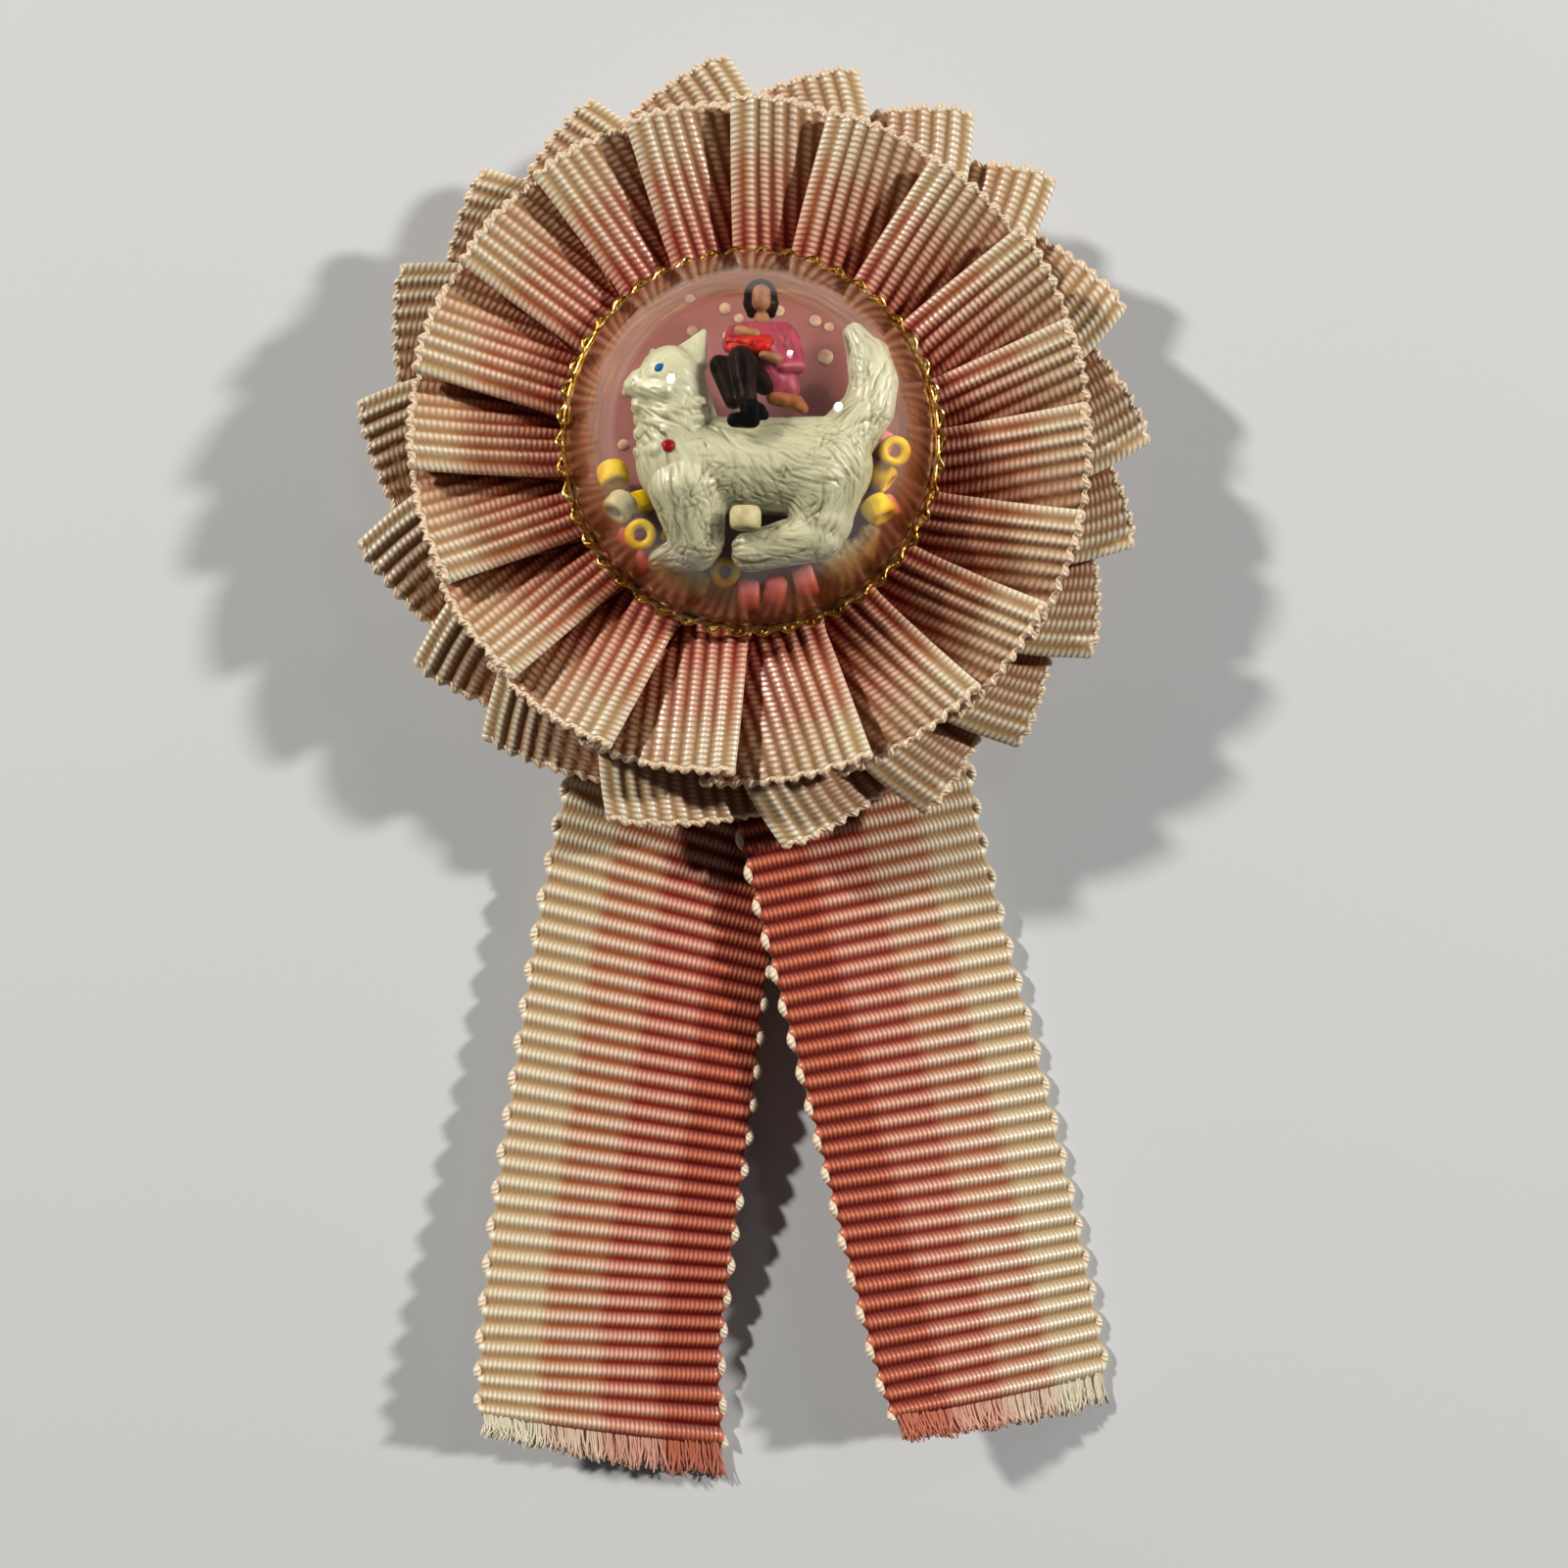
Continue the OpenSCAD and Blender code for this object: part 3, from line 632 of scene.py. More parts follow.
# a ring of knife pleats round the rosette's axis. A fold is (angle at the rim, angle at the inner
# selvedge, how much further it reaches); turn is 1 or -1, the way the folds lie
def pleatRing(folds, stations, turn, cut, seed):
    local = np.random.default_rng(seed)
    folds = np.asarray(folds, float)
    last = len(stations) - 1
    t = np.linspace(0, last, cut["rows"])
    t = t + cut["denser"] * (t / last) * (1 - t / last)  # a little denser towards the outer selvedge
    table = alongRows(stations, t).T[:, :, None, None]
    radius, drop, lean, share, valley, tall, under, swell, bend = table
    rim, inner, reach = folds.T[:, None, :, None]
    here = inner + (rim - inner) * share + lean
    pitch = np.radians(((np.roll(here, -1, 1) - here) * turn) % 360) * radius
    tall = tall * (1 + cut["uneven"] * local.uniform(-1, 1, (1, len(folds), 1)) * share)
    places, toValley, way, whole, toFold = pleatSection(pitch, tall, under, swell, bend, cut["columns"])
    u = way - toFold
    # the outer selvedge is scalloped, and each fold reaches out by its own amount
    outward = smoothStep(t, last - cut["outward"], last)[:, None, None]
    scallop = cut["scallop"] * (0.5 - 0.5 * np.cos(math.pi * (u / cut["rib"]))) * outward
    further = reach + cut["ragged"] * local.uniform(-1, 1, (1, len(folds), 1))
    r = radius - drop * toValley + further * share**2 * (1 - toValley) + scallop
    a = np.radians(here + turn * np.degrees(places[..., 0] / radius))
    middle = np.stack([centre[0] + r * np.sin(a), centre[1] + r * np.cos(a), valley + places[..., 1]], -1)
    rows, columns = cut["rows"], cut["columns"]
    middle = middle[:, :, :columns].reshape(rows, -1, 3)
    along = np.roll(middle, -1, 1) - np.roll(middle, 1, 1)
    normal = unit(np.cross(np.gradient(middle, axis=0), along))
    upward = np.sign(normal[-1, np.argmax(middle[-1, :, 2]), 2])
    normal = normal * upward
    # the ribs fade to their mean thickness where one pleat's ribs meet the next one's
    ribs = ribHeight(u, cut["rib"], cut["half"], cut["depth"])
    seam = 1 - smoothStep(np.minimum(way, whole - way), 0, cut["seam"])
    ribs = ribs + (cut["half"] - cut["depth"] * 0.5 - ribs) * seam
    wall = clothWall(middle, normal, ribs[:, :, :columns].reshape(rows, -1))
    # each pleat's ribs are counted from a whole number of its own, so that no two share a pattern
    ribsBefore = np.arange(len(folds))[None, :, None] * cut["apart"]
    place = [u + ribsBefore * cut["rib"], np.broadcast_to(stations[-1][0] - radius, u.shape)]
    uv = cornerPlaces(wallRows(np.stack(place, -1)))
    quads = gridQuads(len(wall), wall.shape[1], True, True)
    if turn * upward > 0:
        quads, uv = quads[:, ::-1], uv[..., ::-1, :]
    edge = {"middle": middle[-1], "normal": normal[-1], "out": unit(middle[-1] - middle[-2]),
            "u": u[-1, :, :columns].reshape(-1)}
    sunk = wallRows(toValley[:, :, :columns].reshape(rows, -1)).reshape(-1)
    area = float(np.linalg.norm(np.cross(np.gradient(middle, axis=0), along / 2), axis=-1).sum())
    return (wall.reshape(-1, 3), quads, uv.reshape(-1, 2)), edge, area, float(whole[-1].sum()), sunk


# the selvedge: one thread that swells into a knot past the ends of the ribs
def selvedgeTube(edge, cut, closed):
    knot = 0.5 - 0.5 * np.cos(2 * math.pi * edge["u"] / (cut["rib"] * cut["every"]))
    out = cut["rest"] + cut["swing"] * np.sqrt(knot)
    path = edge["middle"] + edge["out"] * out[:, None]
    path = path + edge["normal"] * (cut["rock"] * (2 * knot - 1))[:, None]
    sides, radius = cut["sides"], cut["thin"] + cut["fat"] * knot
    return (*tube(path, edge["out"], edge["normal"], radius, sides, closed), tubeUv(path, sides, closed))


frontFolds = [
    [14, 13], [33.5, 33], [52.4, 52], [69.8, 71], [84.3, 86], [102.8, 105], [119.6, 122.5],
    [137.4, 140], [159.3, 159], [183, 182], [204.6, 203.5], [224.9, 224], [244.7, 243],
    [265, 262], [281.5, 280], [301.4, 300], [320.8, 320.5], [338.8, 337.5], [357.2, 356]]
# radius, drop at the valley, lean, share of the rim's angles, valley's height, fold's height,
# underlap, swell, radius of the bends
frontStations = [
    [13.6, 0, 0, 0, 11.0, 1.7, -0.9, 0, 0.6], [16, 0, 0, 0, 11.2, 1.9, -0.6, 0.1, 0.62],
    [19.5, 0, 0, 0.3, 11.65, 2.6, -0.1, 0.3, 0.66], [23, 0, 0, 0.65, 11.7, 3.4, 0.7, 0.5, 0.7],
    [26.5, -0.8, 0, 1, 11.6, 4.3, 1.6, 0.7, 0.74]]
backFolds = [
    [356.6, 32.3], [335.8, 31.5], [316.6, 31.6], [298.3, 32.3], [277.4, 32.4], [257.2, 32.9],
    [238.2, 32.4], [223.4, 32], [201.4, 32.1], [175.3, 32.5], [154.5, 32.8], [138, 32.4],
    [121.2, 32.3], [104.1, 31.9], [88.7, 32.4], [69.2, 32.8], [48.6, 33], [33.5, 32.9], [15.6, 32.3]]
backStations = [
    [15.5, 0, 11, 0.1, 9.15, 1.7, -1.4, 0, 0.75], [20, 0, 11, 0.2, 8.9, 1.7, -1.4, 0, 0.75],
    [25, 1, 8, 0.5, 8.4, 2.2, -0.7, 0.1, 0.75], [28.8, 2, 4, 0.8, 7.9, 2.6, -0.3, 0.2, 0.75],
    [32.3, 3.2, 0, 1, 7.4, 3.1, 0.6, 0.3, 0.75]]
# what both rings share, then what each has of its own
ringCut = {"denser": 0.25, "outward": 0.45, "scallop": 0.14, "seam": 0.4, "apart": 40, "half": 0.42,
           "depth": 0.32, "every": 1, "rest": -0.05, "swing": 0.16, "rock": 0.0, "thin": 0.22, "fat": 0.22,
           "sides": 8, "thread": 0.43, "bleed": 1.4, "soft": 0.07, "deep": 0.75}
frontCut = {**ringCut, "rows": 15, "columns": 120, "rib": 1.26, "uneven": 0.08, "ragged": 0.25}
backCut = {**ringCut, "rows": 13, "columns": 112, "rib": 1.25, "uneven": 0.05, "ragged": 0.15}
frontDye = [(3.6, "cream"), (8.2, "blush"), (11.5, "salmon"), (20, "coral")]
backDye = [(9, "cream"), (13, "blush"), (16, "salmon"), (20, "coral")]
backRim = 32.4  # the back ring's own radius, in mm
ruffleThread = threadMaterial("ruffleThread", fromSrgb(246, 224, 192))

# each ring: folds, stations, turn, cut, seed, dyes, the ribbon's built width, what it rests on
rings = {
    "front": ([[rim, inner, 0] for rim, inner in frontFolds], frontStations, 1, frontCut, 3, frontDye,
              13.5, "back_ruffle"),
    "back": ([[angle, angle, far - backRim] for angle, far in backFolds], backStations, -1, backCut, 4,
             backDye, 17.5, "backing")}
for side, (folds, stations, turn, cut, seed, dye, wide, below) in rings.items():
    part, edge, area, length, sunk = pleatRing(folds, stations, turn, cut, seed)
    ribbon = ribbonMaterial(side + "Ribbon", dye, cut)
    ruffle = makePiece(side + "Ruffle", [part], ribbon, [side + "_ruffle"])
    selvedge = makePiece(side + "Selvedge", [selvedgeTube(edge, cut, True)], ruffleThread)
    markPoints(ruffle, "valley", sunk)
    print(side, "ring of pleats made:", round(area), "square mm,", round(length), "mm round")


# ribbon tails

tailTables = {
    "tail_left": [
        [-9.8, 21, 6.8, 9.2, 14.9, 6.8, 0], [-11.6, 15.5, 6.8, 7.5, 9.4, 6.2, 0.25],
        [-13.3, 10, 6.3, 5.8, 3.9, 4.2, 0.1], [-15.6, 3.4, 4.4, 3.4, -2.7, 3.2, 0.3],
        [-17.5, -4.5, 3.6, 1.6, -9.9, 3.2, 0.3], [-19.2, -13.4, 3.4, 0.2, -17.8, 3.5, 0.4],
        [-20.8, -24.3, 3.7, -0.9, -28, 3.4, 0.4], [-22.4, -35.7, 4.4, -2.4, -38.4, 2.7, 0.3],
        [-23.4, -47.5, 5.6, -3.6, -49.9, 1.4, 0.3], [-23.2, -54.7, 6.6, -3.1, -60.9, 0.6, 0.2]],
    "tail_right": [
        [13.6, 22.5, 7.95, -5.9, 18.2, 8, 0], [14.8, 17, 7.8, -4.7, 12.7, 7.85, 0.15],
        [16, 11.5, 7.3, -3.5, 7.2, 7.6, 0.05], [17.6, 4.6, 5, -2, 0.3, 6.4, 0.1],
        [19.2, -3.2, 2.3, -0.2, -7.2, 6.2, 0.2], [21.8, -13.3, 1.1, 2.2, -16.5, 6.8, 0.3],
        [24.8, -24.6, 0.7, 4.9, -26.8, 7.4, 0.4], [27.7, -36.7, 0.6, 7.6, -37.7, 7.8, 0.4],
        [30, -48.1, 0.6, 10.7, -49.4, 8, 0.3], [30.8, -54.3, 0.7, 12.8, -54.5, 8, 0.2]]}
tailCut = {"fine": 900, "rib": 1.52, "perRib": 9, "across": 28, "half": 0.5, "depth": 0.4, "wave": 0.1,
           "waves": 0.35, "every": 2, "rest": -0.05, "swing": 0.5, "rock": 0.12, "thin": 0.12, "fat": 0.24,
           "sides": 8, "thread": 0.4, "bleed": 0.7, "soft": 0.03, "deep": 0}
fringe = {"count": 640, "edge": 0.004, "long": 2.7, "steps": 7, "sides": 3, "from": -0.35,
          "bow": (0.76, 0.24), "shorter": (0.76, 1.03), "sway": 0.018, "swayPower": 1.5, "curl": (0.008, 5),
          "layer": (-0.3, 0.24), "lift": (0.05, 0.22), "wave": (0.1, 6), "lowest": 0.1,
          "thick": (0.15, 0.085)}
tailDye = [(4.9, "cream"), (9.9, "blush"), (14.9, "salmon"), (20, "coral")]
tailRibbon = ribbonMaterial("tailRibbon", tailDye, tailCut)
tailFringe = fringeMaterial("tailFringe", tailDye, tailCut["soft"])
creamThread = threadMaterial("creamThread", fromSrgb(254, 243, 218))


# a tail's middle: each rib is a low arch between two curves, one through each selvedge's points
def tailMiddle(table, t, w):
    row = alongRows(table, t)
    outer, inner, crown = row[:, None, 0:3], row[:, None, 3:6], row[:, None, 6:7]
    w = np.asarray(w)[None, :, None]
    return outer + (inner - outer) * w + crown * 4 * w * (1 - w) * np.array([0, 0, 1])


# a tail's cloth: its middle made a wall with ribs, in slow waves along it, and closed at both ends
def tailCloth(table, flip):
    fine = np.linspace(0.3, len(table) - 1, tailCut["fine"])
    core = tailMiddle(table, fine, [0.5])[:, 0]
    length = np.concatenate([[0], np.cumsum(np.linalg.norm(np.diff(core, axis=0), axis=1))])
    ribs = int((length[-1] - fringe["long"]) / tailCut["rib"])
    u = np.linspace(0, ribs * tailCut["rib"], ribs * tailCut["perRib"] + 1)
    t = np.interp(u, length - (length[-1] - fringe["long"] - u[-1]), fine)
    w = np.linspace(0, 1, tailCut["across"])
    middle = tailMiddle(table, t, w).transpose(1, 0, 2)  # rows across, columns along
    wave = tailCut["wave"] * np.sin(u * tailCut["waves"])
    middle[..., 2] += wave[None, :] * np.sin(math.pi * w)[:, None]
    normal = unit(np.cross(np.gradient(middle, axis=0), np.gradient(middle, axis=1)))
    normal *= np.sign(normal[..., 2:3])
    half = np.tile(ribHeight(u, tailCut["rib"], tailCut["half"], tailCut["depth"]), (len(w), 1))
    wall = clothWall(middle, normal, half)
    rows, columns = wall.shape[:2]
    place = wallRows(np.stack(np.broadcast_arrays(u, w[:, None] * ribbonWidth), -1))
    uv = cornerPlaces(place).reshape(-1, 4, 2)
    quads = gridQuads(rows, columns, True, False)
    # the cut ends: quads between the face and the back, and a many-sided face at each selvedge
    n = len(w)
    back = 2 * n + sideRows - 1 - np.arange(n)
    caps = []
    for column, turned in ((0, 1), (columns - 1, -1)):
        cap = [[k, k + 1, back[k + 1], back[k]] for k in range(n - 1)]
        cap.append([n - 1, *range(n, n + sideRows), back[n - 1]])
        cap.append([back[0], *range(2 * n + sideRows, 2 * n + 2 * sideRows), 0])
        caps += [[k * columns + column for k in face[::turned * flip]] for face in cap]
    if flip < 0:
        quads, uv = quads[:, ::-1], uv[:, ::-1]
    capUv = place.reshape(-1, 2)[[k for face in caps for k in face]]
    part = wall.reshape(-1, 3), quads.tolist() + caps, np.concatenate([uv.reshape(-1, 2), capUv])
    edges = [{"middle": middle[row], "normal": normal[row], "out": unit(middle[row] - middle[inward]),
              "u": u + shift} for row, inward, shift in ((0, 1, 0), (-1, -2, tailCut["rib"]))]
    return part, edges, float(u[-1]), t[-1], ribs


# loose warp ends past the last rib, which lies at tLast in the table: each starts inside the rib,
# wanders to its side and curls on its way to the cut. s is the share of its length
def fringeHairs(table, tLast):
    count, steps = fringe["count"], fringe["steps"]
    where = np.sort(rng.uniform(fringe["edge"], 1 - fringe["edge"], count))
    s = np.linspace(fringe["from"], 1, steps)
    clump = 0.08 * np.sin(where * 31 + 2) + 0.06 * np.sin(where * 73)
    shortest, bow = fringe["bow"]
    long = (shortest + bow * np.sin(math.pi * where) + clump) * rng.uniform(*fringe["shorter"], count)
    tEnd = tLast + (len(table) - 1 - tLast) * (long[:, None] * s).ravel()
    ends = tailMiddle(table, np.clip(tEnd, 0, len(table) - 0.9), [0, 1])
    onward = np.tile(np.maximum(s, 0), count)
    sway = np.repeat(rng.normal(0, fringe["sway"], count), steps)
    share = np.repeat(where, steps) + sway * onward ** fringe["swayPower"]
    curl, curls = fringe["curl"]
    share += curl * np.sin(np.repeat(rng.uniform(0, 6.3, count), steps) + curls * onward) * onward
    path = ends[:, 0] + (ends[:, 1] - ends[:, 0]) * np.clip(share, -0.02, 1.02)[:, None]
    path = path.reshape(count, steps, 3)
    layer = rng.uniform(*fringe["layer"], count)
    path[..., 2] += layer[:, None] + rng.normal(*fringe["lift"], count)[:, None] * np.maximum(s, 0) ** 2
    wave, waves = fringe["wave"]
    path[..., 2] += wave * np.sin(rng.uniform(0, 6.3, count)[:, None] + waves * s) * np.maximum(s, 0)
    path[..., 2] = np.maximum(path[..., 2], fringe["lowest"])
    sideways = unit(ends[::steps, 1] - ends[::steps, 0])
    hairs = []
    for k in range(count):
        out = np.tile(sideways[k], (steps, 1))
        up = unit(np.cross(out, np.gradient(path[k], axis=0)))
        thick = np.linspace(*fringe["thick"], steps)
        points, faces = tube(path[k], out, up, thick, fringe["sides"], False)
        corners = sum(len(f) for f in faces)
        hairs.append((points, faces, np.tile([0.5 + layer[k], where[k] * ribbonWidth], (corners, 1))))
    return hairs


for node, table in tailTables.items():
    part, edges, length, tLast, ribs = tailCloth(table, -1 if node == "tail_left" else 1)
    tail = makePiece(node.replace("_", ""), [part], tailRibbon, [node])
    loops = [selvedgeTube(edge, tailCut, False) for edge in edges]
    selvedge = makePiece(tail.name + "Selvedge", loops, creamThread)
    frayed = makePiece(tail.name + "Fringe", fringeHairs(table, tLast), tailFringe)
    print(node, "has", ribs, "ribs")


# dome, trim and card

# how far a place is from the rosette's axis, in metres, and fine streaks that run round it
streaks = {"around": 1.4, "outward": 1100.0, "noise": (3.0, 3.0)}
ringGroup, given, made = newGroup("ringStreaks", [("Place", "NodeSocketVector", None)], ["Far", "Streaks"])
shift = addNode(ringGroup, "ShaderNodeMapping", {
    "Vector": given["Place"], "Location": (-centre[0] * mm, -centre[1] * mm, 0)}).outputs[0]
vectorMath = partial(addNode, ringGroup, "ShaderNodeVectorMath")
flatPlace = vectorMath({0: shift, 1: (1, 1, 0)}, operation="MULTIPLY").outputs[0]
far = vectorMath({0: flatPlace}, operation="LENGTH").outputs["Value"]
fromAxis = splitPlace(ringGroup, shift)
around = calc(ringGroup, "ARCTAN2", fromAxis["Y"], fromAxis["X"])
streak = addNode(ringGroup, "ShaderNodeCombineXYZ", {
    "X": calc(ringGroup, "MULTIPLY", around, streaks["around"]),
    "Y": calc(ringGroup, "MULTIPLY", far, streaks["outward"])})
feedAll(ringGroup, made, {"Far": far, "Streaks": noise(ringGroup, streak.outputs[0], *streaks["noise"])})


# a mask for a rim: 0 inside it, then up to 1, where the streaks make its start wander
def rimMask(tree, ring, wander, steep, start):
    return scaled(tree, scaled(tree, ring["Streaks"], wander, ring["Far"]), steep, start, clamp=True)


# painted reflection: an amber band near the dome's foot, streaked and a little darker and redder towards the
# south, stands for the ribbon and trim seen in the glass
dome = {
    "r": 14.7, "wall": 0.6, "z": 13.2, "foot": 14.0, "rows": 44, "segments": 160,
    "clear": (0.98, 0.975, 0.96, 1), "south": (-90.0, 2.1), "reflectionNorth": (0.72, 0.47, 0.26, 1),
    "reflectionSouth": (0.68, 0.39, 0.2, 1), "streaks": (6.0, -2.6), "streak": (0.84, 0.76, 0.66, 1),
    "rim": (0.0012, 620.0, -7.6), "frost": 0.16, "ripple": (160.0, 1.0), "bump": (0.03, 0.0006),
    "shade": (0.77, 0.74, 0.71, 1)}
foot, bore = dome["foot"], dome["r"] - dome["wall"]
a = np.linspace(math.pi / 2, math.asin((foot + 0.15 - dome["z"]) / dome["r"]), dome["rows"])
outer, innerArc = [np.stack([r * np.cos(a), dome["z"] + r * np.sin(a)], -1) for r in (dome["r"], bore)]
rounded = [[dome["r"] - 0.08, foot + 0.03], [dome["r"] - 0.2, foot], [bore + 0.15, foot]]
profile = np.concatenate([outer, rounded, innerArc[::-1]])
clearDome, tree, shader = newMaterial("clearDome", {"IOR": 1.46, "Transmission Weight": 1.0})
place = objectPlace(tree)
ring = useGroup(tree, ringGroup, {"Place": place})
south = scaled(tree, splitPlace(tree, place)["Y"], *dome["south"], clamp=True)
rimReflection = mixColour(tree, south, dome["reflectionNorth"], dome["reflectionSouth"])
streakMask = scaled(tree, ring["Streaks"], *dome["streaks"], clamp=True)
streaky = mixColour(tree, streakMask, dome["streak"], (1, 1, 1, 1))
rimReflection = mixColour(tree, 1.0, rimReflection, streaky, "MULTIPLY")
rimReflectionMask = rimMask(tree, ring, *dome["rim"])
feedAll(tree, shader, {
    "Base Color": mixColour(tree, rimReflectionMask, dome["clear"], rimReflection),
    "Roughness": calc(tree, "MULTIPLY", rimReflectionMask, dome["frost"]),
    "Normal": bump(tree, noise(tree, place, *dome["ripple"]), *dome["bump"])})
passing = addNode(tree, "ShaderNodeBsdfTransparent", {"Color": dome["shade"]})
shadow = addNode(tree, "ShaderNodeLightPath").outputs["Is Shadow Ray"]
mixed = addNode(tree, "ShaderNodeMixShader", {0: shadow, 1: shader.outputs[0], 2: passing.outputs[0]})
feed(tree, tree.nodes["Material Output"].inputs["Surface"], mixed.outputs[0])
makePiece("dome.clear", [(*lathe(profile, dome["segments"]), None)], clearDome, ["dome"])

goldPaint = mottled("goldLace", {"Metallic": 1.0}, {
    "noise": (1200.0, 2.0), "ramp": [(0.3, (150, 98, 28)), (0.5, (222, 172, 78)), (0.68, (255, 232, 160))],
    "roughNoise": (2500.0, 2.0), "rough": (0.3, 0.06), "bumpNoise": (3500.0, 2.0), "bump": (0.5, 0.0001)})
lace = {"scallops": 46, "z": 14.32, "points": 828, "sides": 7}
theta = np.arange(lace["points"]) * 2 * math.pi / lace["points"]
outDir = np.stack([np.cos(theta), np.sin(theta), 0 * theta], -1)
upDir = np.tile([0.0, 0.0, 1.0], (lace["points"], 1))
# each wire: rest radius, its waves as (count, outward, upward), thickness
laceWires = [
    (14.95, [(3, 0.03, 0.05)], 0.2), (15.24, [(lace["scallops"], 0.24, 0.1), (5, 0.04, 0.06)], 0.21),
    (15.16, [(lace["scallops"], 0.2, 0.1), (161, 0.16, 0.18)], 0.11)]
laceParts = []
for rest, waves, fat in laceWires:
    r = rest + sum(out * np.cos(count * theta) for count, out, up in waves)
    z = lace["z"] + sum(up * np.sin(count * theta) for count, out, up in waves)
    path = np.stack([centre[0] + r * np.cos(theta), centre[1] + r * np.sin(theta), z], -1)
    points, faces = tube(path, outDir, upDir, fat, lace["sides"], True)
    laceParts.append((points, [f[::-1] for f in faces], None))
makePiece("goldTrim", laceParts, goldPaint, ["gold_trim"])

# the card is mottled mauve; at its edge an amber band with streaks is a painted reflection of the ribbon
# seen through the dome's foot
card = {"noise": (300.0, 3.0), "dark": fromSrgb(124, 76, 78), "light": fromSrgb(144, 96, 98),
        "rim": (0.0008, 1300.0, -15.2), "bumpNoise": (4000.0, 2.0), "bump": (0.15, 0.0001)}
cardPaint, tree, shader = newMaterial("mauveCard", {"Roughness": 0.55})
place = objectPlace(tree)
ring = useGroup(tree, ringGroup, {"Place": place})
mauve = mixColour(tree, noise(tree, place, *card["noise"]), card["dark"], card["light"])
edgeReflection = colourRamp(tree, ring["Streaks"], [
    (0.3, (84, 34, 8)), (0.55, (118, 66, 28)), (0.75, (150, 104, 66))])
edgeReflectionMask = rimMask(tree, ring, *card["rim"])
feedAll(tree, shader, {
    "Base Color": mixColour(tree, edgeReflectionMask, mauve, edgeReflection),
    "Normal": bump(tree, noise(tree, place, *card["bumpNoise"]), *card["bump"])})
finishNode("backdrop", cardPaint)

# painted white dots: low domes at these places from the dome's centre, with their radii
dots = [(-4.8, 11.3, 0.42), (-2.0, 10.5, 0.5), (2.3, 10.3, 0.48), (5.2, 9.5, 0.52), (6.3, 9.0, 0.4),
        (-4.6, 8.7, 0.46), (-1.8, 8.3, 0.4), (-0.9, 9.7, 0.4), (6.0, 6.6, 0.64), (-10.1, -0.4, 0.46),
        (-9.9, 3.8, 0.36), (10.9, 0.1, 0.6)]
s = np.linspace(math.pi / 2, 0, 7)
dotParts = []
for x, y, r in dots:
    dotProfile = np.stack([r * np.cos(s), cardTop + 0.02 + 0.35 * r * np.sin(s)], -1).tolist()
    dotProfile += [[r * 0.9, cardTop + 0.005], [0, cardTop + 0.005]]
    dotParts.append((*lathe(dotProfile, 18, centre + [x, y]), None))


# painted resin: a slightly mottled coat over small unevenness. Each paint has a light and a dark
# colour, its roughness, the scale of its grain, the height of its lumps in metres, coat and shine
def paint(name, colour, dark, rough=0.35, grain=700.0, lumps=0.0001, coat=0.2, shine=0.2):
    return mottled(name, {"Specular IOR Level": shine, "Coat Weight": coat}, {
        "noise": (grain, 3.0), "ramp": [(0.32, dark), (0.62, colour)], "rough": (0.2, rough - 0.1),
        "bumpNoise": (grain * 3, 2.0), "bump": (0.5, lumps)})


whiteDot = paint("whiteDot", (184, 164, 150), (150, 118, 108), 0.4)
makePiece("backdropDots", dotParts, whiteDot)
print("dome, trim and card made")


# cat

cat = {"voxel": 0.106, "rounds": 5, "strokes": 4000, "furDeep": 0.075, "furWide": 0.075, "furLong": 0.8,
       "batch": 40, "near": 2.4, "deepest": 0.2, "stray": 0.14, "bent": 0.06, "raised": 0.05,
       "headShare": 0.35, "hollow": 0.17}
catLimbs = [
    ([-5, -2.6, 3.7, 3.65], [0.3, -2.9, 3.8, 3.65], [5.7, -2.9, 3.9, 3.75]),
    ([-5, -2.6, 3.7, 3.65], [-5.6, 1.2, 4.4, 2.95]), ([-5.6, 1.2, 4.4, 2.9], [-5.8, 3.4, 5.2, 2.5]),
    ([-6, 3.4, 5.2, 2.2], [-7.9, 2.9, 5.6, 1.25]), ([-8.1, 3.0, 5.6, 0.95], [-8.6, 2.75, 5.6, 0.8]),
    ([-7.3, 1.5, 5.3, 1.15], [-8.1, 1.45, 5.4, 0.8]), ([-7.6, 2.5, 6.3, 0.8], [-6.2, 2.1, 7.1, 0.7]),
    ([-4.2, 4.8, 5.3, 1.15], [-3.4, 7.1, 5.2, 0.22]), ([-5.1, 5.1, 5.3, 0.8], [-3.5, 7.0, 5.2, 0.22]),
    ([-7.0, 4.9, 4.2, 0.7], [-7.35, 5.9, 3.9, 0.3]),
    ([-8.25, 0.6, 4.6, 0.55], [-6.0, 0.5, 7.0, 0.5], [-3.4, 1.4, 6.5, 0.4]),
    ([-8.2, -0.6, 4.6, 0.6], [-6.2, -0.8, 6.75, 0.55], [-3.6, 0.2, 6.6, 0.45]),
    ([-8.1, -1.9, 4.6, 0.7], [-6.8, -2.2, 6.3, 0.7]),
    ([-4.6, -4.8, 4.8, 3.0], [-3.9, -8.6, 4.5, 2.1]), ([-4.0, -9.2, 4.2, 1.75], [-6.9, -9.9, 3.4, 0.85]),
    ([5.5, -4.5, 4.2, 3.5], [5.5, -7.0, 4.4, 2.4]), ([5.2, -8.3, 4.6, 1.95], [0.1, -9.5, 4.7, 1.5]),
    ([7.3, -0.9, 4.1, 2.3], [9.1, 1.4, 4.1, 1.95], [9.5, 3.4, 4.1, 1.85], [9.1, 5.3, 4.1, 1.6],
     [8.0, 7.2, 4.1, 0.85])]
catPoints, catFaces = grownSkin(catLimbs, cat["voxel"], cat["rounds"])
normal = pointNormals(catPoints, catFaces)
